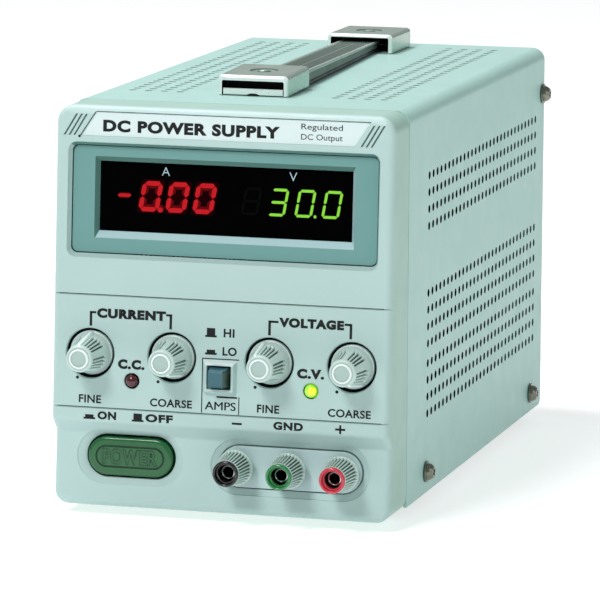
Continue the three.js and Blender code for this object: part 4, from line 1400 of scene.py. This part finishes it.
# ---- Handle ----------------------------------------------------------------------------------------
CAP_CORNER = 1.6
CAP_WALL = 1.2
CAP_LIP = 2.0
CAP_SPREAD = 0.6
CAP_SHIFT = -0.6
CAP_FINISHES = ["cap", "socket", "edge", "line"]
PLATED, PAINTED_SHADE, EDGE, DIMPLE_SHADE = range(len(CAP_FINISHES))
FRONT_CAP_RISE = 0.9
ANCHOR_LIP_TOP = 149.2
SHADE_SHEET_PLACE = (8.0, 9.5)
SHADE_SHEET_HALF = 12.1
SHADE_SHEET_TOP = 152.7
STRAP_LIE = ((3.4, 1.6), (-2.4, -0.3))


def arch(middle, half, base, top, radius):
    """Half a channel section's outline on each side, from the right foot over the top to the left."""
    right = [(half, base)] + [(half - radius * (1 - math.cos(a)), top - radius * (1 - math.sin(a)))
                              for a in quarter_turn(5)]
    left = [(middle - x, z) for x, z in reversed(right)]
    return [(middle + x, z) for x, z in right] + left


def raised(bm, low, high, rise):
    """Lifts everything in proportion to its distance behind low.y, by rise at high.y."""
    for v in bm.verts:
        v.co.z += rise * (v.co.y - low.y) / (high.y - low.y)


def cap_middle(node):
    """The middle and half width of a cap, or of what stands in it."""
    low, high = case_box(node)
    return (low.x + high.x) / 2 + CAP_SHIFT, (high.x - low.x) / 2 + CAP_SPREAD


def handle_cap(end):
    """A channel with turned-in ends and a dimple in its top."""
    bm = bmesh.new()
    node = f"{end}_handle_cap"
    low, high = case_box(node)
    middle, half = cap_middle(node)
    plain_lip = CAP_WALL + 0.2
    lip, far_lip = (CAP_LIP, plain_lip) if end == "front" else (plain_lip, CAP_LIP)
    stations = [(low.y, 1.0, lip), (low.y + 0.35, 0.4, lip), (low.y + 1.0, 0.0, lip),
                (low.y + 2.0, 0.0, CAP_WALL), (high.y - 2.0, 0.0, CAP_WALL), (high.y - 1.0, 0.0, far_lip),
                (high.y - 0.35, 0.4, far_lip), (high.y, 1.0, far_lip)]
    outers, inners = [], []
    for y, shrink, wall in stations:
        side_wall = CAP_WALL + 0.35 * (wall > CAP_WALL)
        outer = arch(middle, half - shrink, low.z, high.z - shrink, CAP_CORNER)
        inner = arch(middle, half - side_wall, low.z, high.z - wall, 0.6)
        outers.append([bm.verts.new((x, y, z)) for x, z in outer])
        inners.append([bm.verts.new((x, y, z)) for x, z in inner])
    ridge = len(outers[0]) // 2 - 1
    # The bands at both ends of the cap take a painted highlight.
    for k, (first, second) in enumerate(zip(outers, outers[1:])):
        for i in range(len(first) - 1):
            if not (i == ridge and 2 <= k <= 4):
                face = bm.faces.new((first[i], first[i + 1], second[i + 1], second[i]))
                face.material_index = PLATED if 1 < k < len(outers) - 3 else EDGE
    # The cap's inside is painted black as painted shade.
    skin(bm, inners, PAINTED_SHADE, closed=False)
    for k in (0, -1):
        bridge(bm, outers[k], inners[k], EDGE, closed=False)
        bridge(bm, [row[k] for row in outers], [row[k] for row in inners], closed=False)

    centre_y = (low.y + high.y) / 2
    dimple = [(5.6, 0), (5.4, 0.06), (4.6, 0.5), (3.4, 0.7), (2.7, 0.75), (2.5, 0.5), (2.1, 0.1),
              (1.3, -0.12), (0.6, -0.18)]
    rings = [[bm.verts.new((x, y, high.z - sunk_by)) for x, y in circle(middle, centre_y, radius, 40)]
             for radius, sunk_by in dimple]
    # Rings in the dimple take the line finish as painted shade.
    skin(bm, rings, lambda band: DIMPLE_SHADE if band in (1, 4, 5) else PLATED)
    cap_off(bm, rings[-1])
    rim = [outers[k][ridge] for k in range(2, 6)] + [outers[k][ridge + 1] for k in range(5, 1, -1)]
    fill(bm, rim, [rings[0]], (), xy)
    if end == "front":
        raised(bm, low, high, FRONT_CAP_RISE)
    return piece(f"{end}_cap", bm, CAP_FINISHES, replaces=[node])


def anchor(end):
    """The plate under a cap, with an upturned lip that has a small half-round notch at its foot. The lip
    takes a painted highlight; the plate behind it, the notch and a black sheet across the cap are painted
    shade.
    """
    bm = bmesh.new()
    node = f"{end}_strap_anchor"
    low, high = case_box(node)
    middle, half = cap_middle(node)
    half -= 0.5
    facing, outer_y = (1, low.y) if end == "front" else (-1, high.y)
    length = high.y - low.y
    thick = 1.1
    section = [(0, low.z + 0.5), (0.15, low.z + 0.15), (0.5, low.z), (length, low.z),
               (length, low.z + 0.9), (thick + 0.5, low.z + 0.9), (thick, low.z + 1.4),
               (thick, ANCHOR_LIP_TOP - 0.2), (thick - 0.2, ANCHOR_LIP_TOP), (0.25, ANCHOR_LIP_TOP),
               (0, ANCHOR_LIP_TOP - 0.25)]
    rows = []
    for x in (middle - half, middle + half):
        rows.append([bm.verts.new((x, outer_y + facing * depth, z)) for depth, z in section])
    bridge(bm, *rows)
    for row in rows:
        fill(bm, row, (), (), yz)
    # The lip takes a painted highlight and the plate behind it painted shade.
    for face in bm.faces:
        depth = (face.calc_center_median().y - outer_y) * facing
        face.material_index = EDGE if depth < thick else PAINTED_SHADE
    # A black sheet across the cap's inside stands in for the shade in its mouth.
    shade_sheet = sorted(outer_y + facing * place for place in SHADE_SHEET_PLACE)
    box(bm, (middle - SHADE_SHEET_HALF, shade_sheet[0], low.z + 1.1), (middle + SHADE_SHEET_HALF, shade_sheet[1], SHADE_SHEET_TOP), 0.2, PAINTED_SHADE)
    notch = [(middle + 2.3 * math.cos(a), low.z - 0.02 + 0.75 * math.sin(a))
             for a in [math.pi * i / 10 for i in range(11)]]
    for ring in lofted(bm, [(notch, outer_y - facing * 0.03), (notch, outer_y + facing * 0.2)], PAINTED_SHADE):
        cap_off(bm, ring, PAINTED_SHADE)
    return piece(f"{end}_anchor", bm, CAP_FINISHES[:3], replaces=[node])


def strap_section(half, low, high):
    """The strap's section: ribs between two raised edges, and a waist along each side."""
    rise = 0.32
    points = [(0, low), (half - 0.2, low), (half, low + 0.2), (half, low + 0.75),
              (half - 0.45, low + 1.1), (half - 0.45, high - 1.1), (half, high - 0.8), (half, high - 0.35),
              (half - 0.3, high), (half - 1.2, high), (half - 1.5, high - rise)]
    rib = half - 1.5
    count = 5
    step = rib / (count + 0.5)
    for i in range(count):
        start = rib - i * step
        points += [(start - 0.35 * step, high - rise), (start - 0.5 * step, high - rise + 0.22),
                   (start - 0.85 * step, high - rise + 0.22), (start - step, high - rise)]
    mirrored = [(-x, z) for x, z in reversed(points[1:])]
    return points + mirrored


def lie(share):
    """How far the strap lies aside at a share of its length, and how much thicker it looks there."""
    return [a + (b - a) * share for a, b in zip(*STRAP_LIE)]


def strap():
    """One strap over both of its halves."""
    top, upper_edge_highlight, dark_underside_and_shade = range(3)
    edge_faces = {6, 7, 8, 9}
    bm = bmesh.new()
    low, high = case_box("handle_strap_front")[0], case_box("handle_strap_rear")[1]
    middle, half = (low.x + high.x) / 2, (high.x - low.x) / 2
    section = strap_section(half, low.z, high.z)
    span, count, total = high.y - low.y, 72, len(section)
    rows = []
    for i in range(count + 1):
        aside, thicker = lie(i / count)
        swell = 1 + thicker / (high.z - low.z)
        rows.append([bm.verts.new((middle + aside + x, low.y + span * i / count,
                                   low.z + swell * (z - low.z))) for x, z in section])
    for first, second in zip(rows, rows[1:]):
        for i in range(total):
            j = (i + 1) % total
            face = bm.faces.new((first[i], first[j], second[j], second[i]))
            mirror = total - 1 - i
            # The upper edge faces take a painted highlight, and the lowest faces are black: a dark underside
            # that also stands for painted shade beneath the strap.
            face.material_index = upper_edge_highlight if {i, mirror} & edge_faces else top
            if min(i, mirror) < 4:
                face.material_index = dark_underside_and_shade
    for row in (rows[0], rows[-1]):
        fill(bm, row)
    start, end = [CASE @ Vector((middle, low.y + span * share, low.z)) for share in (0.2, 0.8)]
    return piece("carry_strap", bm, ["strap", "strap_edge", "black"],
                 blend=("strap_front", "strap_rear", start, end),
                 replaces=["handle_strap_front", "handle_strap_rear"])


for cap_end in ("front", "rear"):
    handle_cap(cap_end)
    anchor(cap_end)
strap()


# ---- Side screws -----------------------------------------------------------------------------------
def cross_outline(arm, wide, degrees):
    """A cross recess's outline, turned."""
    cross = [(arm, -wide), (arm, wide), (wide, wide), (wide, arm), (-wide, arm), (-wide, wide), (-arm, wide),
             (-arm, -wide), (-wide, -wide), (-wide, -arm), (wide, -arm), (wide, -wide)]
    c, s = math.cos(math.radians(degrees)), math.sin(math.radians(degrees))
    return [(u * c - v * s, u * s + v * c) for u, v in cross]


def side_screw(node):
    """A washer and a pan head with a cross recess, turned about a line along X."""
    bm = bmesh.new()
    (x0, x1), (y0, y1), (z0, z1) = spans_of(node)
    y, z = (y0 + y1) / 2, (z0 + z1) / 2
    sign = 1 if x1 > 0 else -1
    inner, tip = sorted((abs(x0), abs(x1)))
    seat, deep, recess = HALF + 0.3, 0.9, 1
    profile = [(1.7, inner), (1.7, seat), (3.8, seat), (4.0, seat + 0.15), (4.0, seat + 0.5),
               (3.85, seat + 0.65), (3.2, seat + 0.7), (3.15, seat + 1.3), (2.95, seat + 1.9),
               (2.5, seat + 2.5), (2.1, tip)]
    rings = [[bm.verts.new((sign * x, *spot)) for spot in circle(y, z, radius)] for radius, x in profile]
    skin(bm, rings)
    cap_off(bm, rings[0])
    cross = cross_outline(1.7, 0.42, 25)
    mouth = [bm.verts.new((sign * tip, y + u, z + v)) for u, v in cross]
    base = [bm.verts.new((sign * (tip - deep), y + u * 0.8, z + v * 0.8)) for u, v in cross]
    # The cross recess is painted black as painted shade.
    bridge(bm, mouth, base, recess)
    cap_off(bm, base, recess)
    fill_round_star(bm, rings[-1], mouth)
    return piece(f"{node}_head", bm, ["nickel", "socket"], replaces=[node])


def fill_round_star(bm, outer, inner):
    """Triangles between an outer ring and a star-shaped inner loop, both across X."""
    vertices = [*outer, *inner]
    total = len(outer)
    edges = [(i, (i + 1) % total) for i in range(total)]
    edges += [(total + i, total + (i + 1) % len(inner)) for i in range(len(inner))]
    _, _, triangles, sources, _, _ = delaunay_2d_cdt([yz(v.co) for v in vertices], edges, [], 1, 1e-5)
    star = [yz(v.co) for v in inner]
    for corners in triangles:
        chosen = [vertices[sources[c][0]] for c in corners]
        if not inside_outline(sum((yz(v.co) for v in chosen), Vector((0, 0))) / 3, star):
            bm.faces.new(chosen)


def inside_outline(point, outline):
    inside = False
    for a, b in zip(outline, outline[1:] + outline[:1]):
        if (a.y > point.y) != (b.y > point.y):
            if point.x < a.x + (b.x - a.x) * (point.y - a.y) / (b.y - a.y):
                inside = not inside
    return inside


for node_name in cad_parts:
    if node_name.startswith("cover_screw"):
        side_screw(node_name)

# ---- Rear ------------------------------------------------------------------------------------------
METAL = 1


def cut_plate(bm, outline, holes, depths, edge):
    """A plate between two depths with rounded outer edges and straight openings."""
    near, far = depths
    slim = inset(outline, edge)
    rings = lofted(bm, [(slim, near), (outline, near + edge), (outline, far - edge), (slim, far)])
    mouths = [lofted(bm, [(hole, near), (hole, far)]) for hole in holes]
    for side in (0, -1):
        fill(bm, rings[side], [mouth[side] for mouth in mouths])


def shrunk(spans, x_by, z_by=None):
    """A node's extents as the x and z spans of an outline inside its edges."""
    (x0, x1), _, (z0, z1) = spans
    z_by = x_by if z_by is None else z_by
    return (x0 + x_by, x1 - x_by), (z0 + z_by, z1 - z_by)


def pan_head(bm, x, z, seat, high, wide):
    """A small screw head on a face at depth seat. high is how far it stands out."""
    turned(bm, [(0, seat + high), (1.2, seat + high), (wide, seat + 0.5), (wide + 0.1, seat - 0.2),
                (0, seat - 0.2)], x, z, 20, METAL)


def rear_panel():
    bm = bmesh.new()
    spans = spans_of("rear_panel")
    holes = [rounded(*shrunk(spans_of("power_inlet"), 3.5), 1, 3),
             rounded(*shrunk(spans_of("voltage_selector"), 7, 3), 1, 3)]
    cut_plate(bm, rounded(*shrunk(spans, 0), 2.5), holes, spans[1], 0.3)
    return piece("rear_sheet", bm, "cover", replaces=["rear_panel"])


def rear_lettering():
    """Words on the rear panel, read from behind."""
    bm = bmesh.new()
    surface = spans_of("rear_panel")[1][1]
    for text, left, right, low in (("AC INPUT", -16.0, -40.0, 39.6), ("115V", 40.0, 33.5, 33.2),
                                   ("230V", 26.5, 20.0, 33.2)):
        letters(bm, text, left, right, low, 2.4, 0.03,
                lambda x, z, share: Vector((x, surface + share * 0.06, z)))
    return piece("rear_lettering", bm, "print")


def heat_sink():
    bm = bmesh.new()
    (x0, x1), (y0, y1), (z0, z1) = spans_of("heat_sink")
    count, fin, base = 13, 1.0, y0 + 6
    pitch = (x1 - x0 - 2 * fin) / (count - 1)
    outline = [(x0, y0), (x0, y1 - 0.6)]
    for i in range(count):
        centre = x0 + fin + i * pitch
        outline += [(centre - fin * 0.55, y1), (centre + fin * 0.55, y1), (centre + fin * 0.8, y1 - 0.4)]
        if i < count - 1:
            outline += [(centre + fin * 1.1, base + 0.8), (centre + fin * 1.9, base),
                        (centre + pitch - fin * 1.9, base), (centre + pitch - fin * 1.1, base + 0.8),
                        (centre + pitch - fin * 0.8, y1 - 0.4)]
    outline += [(x1, y1 - 0.6), (x1, y0)]
    ends = [[bm.verts.new((x, y, z)) for x, y in outline] for z in (z0, z1)]
    bridge(bm, *ends)
    for end in ends:
        fill(bm, end, (), (), xy)
    for x in (x0 + 2.5 * pitch + fin, x1 - 2.5 * pitch - fin):
        for z in (z0 + 12, z1 - 12):
            turned(bm, [(0, base + 2.2), (1.6, base + 2.2), (2.6, base + 1.6), (3.0, base + 0.7),
                        (3.0, base - 0.2), (0, base - 0.2)], x, z, 24, METAL)
    return piece("heat_sink_fins", bm, ["anodised", "zinc"], replaces=["heat_sink"])


def mains_inlet():
    """The inlet's flange and body, with three blades in its socket and a bay for the fuse drawer."""
    bm = bmesh.new()
    spans, fuse = spans_of("power_inlet"), spans_of("fuse_drawer")
    (x0, x1), (_, y1), (z0, z1) = spans
    socket_x, socket_z, seat = (-46, -21.6), (14.7, 31.3), y1 - 3
    socket = rounded(socket_x, socket_z, (0.8, 4.5), 3)
    bay = rounded(*shrunk(fuse, -0.3), 0.4, 3)
    cut_plate(bm, rounded(*shrunk(spans, 0), 2), [socket, bay], (seat, y1), 0.35)
    cut_plate(bm, rounded(*shrunk(spans, 3.5), 1, 3), [bay], (fuse[1][0] - 2, seat), 0.3)
    rim = lofted(bm, [(inset(socket, -0.9), y1 - 0.1), (inset(socket, -0.7), y1 + 0.35),
                      (inset(socket, 0.05), y1 + 0.35), (inset(socket, 0.05), y1 - 0.1)])
    bridge(bm, rim[-1], rim[0])
    middle_x = sum(socket_x) / 2
    for shift, z in ((-7, 21), (0, 25), (7, 21)):
        x = middle_x + shift
        box(bm, (x - 1, y1 - 15, z - 2), (x + 1, y1 - 6.3, z + 2), 0.35, METAL)
    for x in (x0 + 2.6, x1 - 2.6):
        pan_head(bm, x, (z0 + z1) / 2, y1, 0.9, 1.9)
    return piece("mains_inlet", bm, ["black", "nickel"], replaces=["power_inlet"])


def drawer():
    bm = bmesh.new()
    (x0, x1), (y0, y1), (z0, z1) = spans_of("fuse_drawer")
    face = y1 - 1.5
    box(bm, (x0, y0, z0), (x1, face, z1), 0.35)
    box(bm, (x0 + 3, face - 0.3, z0 + 2), (x1 - 3, y1, z0 + 5), 0.5)
    for step in range(3):
        low = z0 + 8 + step * 3
        box(bm, (x0 + 2.2, face - 0.3, low), (x1 - 2.2, face + 0.4, low + 1.2), 0.2)
    return piece("fuse_drawer_body", bm, "black", "fuse_drawer", ["fuse_drawer"])


def selector_body():
    bm = bmesh.new()
    spans = spans_of("voltage_selector")
    (x0, x1), (y0, y1), (z0, z1) = spans
    window = rounded((23, 37), (20, 26), 0.3, 2)
    cut_plate(bm, rounded(*shrunk(spans, 0), 1.2, 4), [window], (y1 - 1.2, y1), 0.2)
    cut_plate(bm, rounded(*shrunk(spans, 6.5, 2.5), 0.8, 3), [window], (y0, y1 - 1.2), 0.3)
    for x in (x0 + 3.2, x1 - 3.2):
        pan_head(bm, x, (z0 + z1) / 2, y1, 1.0, 2.0)
    return piece("selector_body", bm, ["black", "nickel"], replaces=["voltage_selector"])


def selector_knob():
    """The slide, with three ribs for a fingernail."""
    bm = bmesh.new()
    (x0, x1), (y0, y1), (z0, z1) = spans_of("selector_slide")
    box(bm, (x0, y0, z0), (x1, y1 - 1.0, z1), 0.3)
    for step in range(3):
        left = x0 + 1.0 + step * 2.1
        box(bm, (left, y1 - 1.3, z0 + 0.5), (left + 1.2, y1, z1 - 0.5), 0.25)
    return piece("selector_knob", bm, "red", "selector_slide", ["selector_slide"])


def foot(node):
    """A rubber foot: a flared disc with a dished sole, turned about a line along Z."""
    bm = bmesh.new()
    low, high = case_box(node)
    x, y = (low.x + high.x) / 2, (low.y + high.y) / 2
    radius, height = (high.x - low.x) / 2, high.z - low.z
    profile = [(radius, height), (radius - 0.1, 1.6), (radius - 0.5, 0.6), (radius - 1.1, 0),
               (radius - 2.4, 0), (radius - 3.0, 0.7), (2.4, 0.9), (2.2, 2.4), (1.0, 2.4)]
    rings = [[bm.verts.new((*spot, low.z + up)) for spot in circle(x, y, r)] for r, up in profile]
    skin(bm, rings)
    cap_off(bm, rings[0])
    cap_off(bm, rings[-1])
    return piece(f"{node}_pad", bm, "rubber", replaces=[node])


rear_panel()
rear_lettering()
heat_sink()
mains_inlet()
drawer()
selector_body()
selector_knob()
for node_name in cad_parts:
    if node_name.startswith("foot_"):
        foot(node_name)

# ---- CAD nodes that stay ---------------------------------------------------------------------------
KEPT = {
    "base_pan": "zinc", "display_module": "board", "power_switch": "black",
    "range_switch": "black", "transformer_core": "core", "transformer_winding": "winding",
    "main_board": "board", "filter_capacitor": "sleeve", "power_transistor": "nickel",
}
KEPT.update({f"{name}_potentiometer": "zinc" for name in KNOBS})

for kept_name, kept_key in KEPT.items():
    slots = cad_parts[kept_name].data.materials
    slots.clear()
    slots.append(MATERIALS[kept_key])


# ---- Floor and light -------------------------------------------------------------------------------
def add_floor():
    bm = bmesh.new()
    bmesh.ops.create_grid(bm, x_segments=1, y_segments=1, size=6)
    mesh = bpy.data.meshes.new("floor")
    bm.to_mesh(mesh)
    bm.free()
    paper = material("floor_paper", (205, 207, 207), 0.9, specular=0.0, grain=0.0, mottle=0.005, glow=1.0)
    mesh.materials.append(paper)
    floor = bpy.data.objects.new("floor", mesh)
    floor.location.z = FLOOR_Z
    bpy.context.scene.collection.objects.link(floor)


def add_light(name, place, aim, size, power, colour=(1, 1, 1)):
    data = bpy.data.lights.new(name, "AREA")
    data.shape = "RECTANGLE"
    data.size, data.size_y = size
    data.energy = power
    data.color = colour
    light = bpy.data.objects.new(name, data)
    light.location = place
    light.rotation_mode = "QUATERNION"
    light.rotation_quaternion = (Vector(aim) - Vector(place)).to_track_quat("-Z", "Y")
    bpy.context.scene.collection.objects.link(light)


def add_world():
    world = bpy.data.worlds.new("studio")
    world.use_nodes = True
    background = world.node_tree.nodes["Background"]
    background.inputs["Color"].default_value = (1, 1, 1, 1)
    background.inputs["Strength"].default_value = 0.34
    bpy.context.scene.world = world


add_floor()
add_world()
add_light("key", (-0.42, -1.35, 1.4), (0, 0, 0.08), (0.5, 0.42), 18.0)
add_light("fill", (1.6, -0.9, 0.9), (0, 0, 0.08), (1.0, 1.0), 4.0, (0.82, 1, 0.93))
add_light("top", (-0.55, 0.25, 1.5), (0, 0, 0.1), (0.6, 0.6), 20, (1, 0.95, 0.99))
bpy.context.scene.view_settings.view_transform = "Standard"
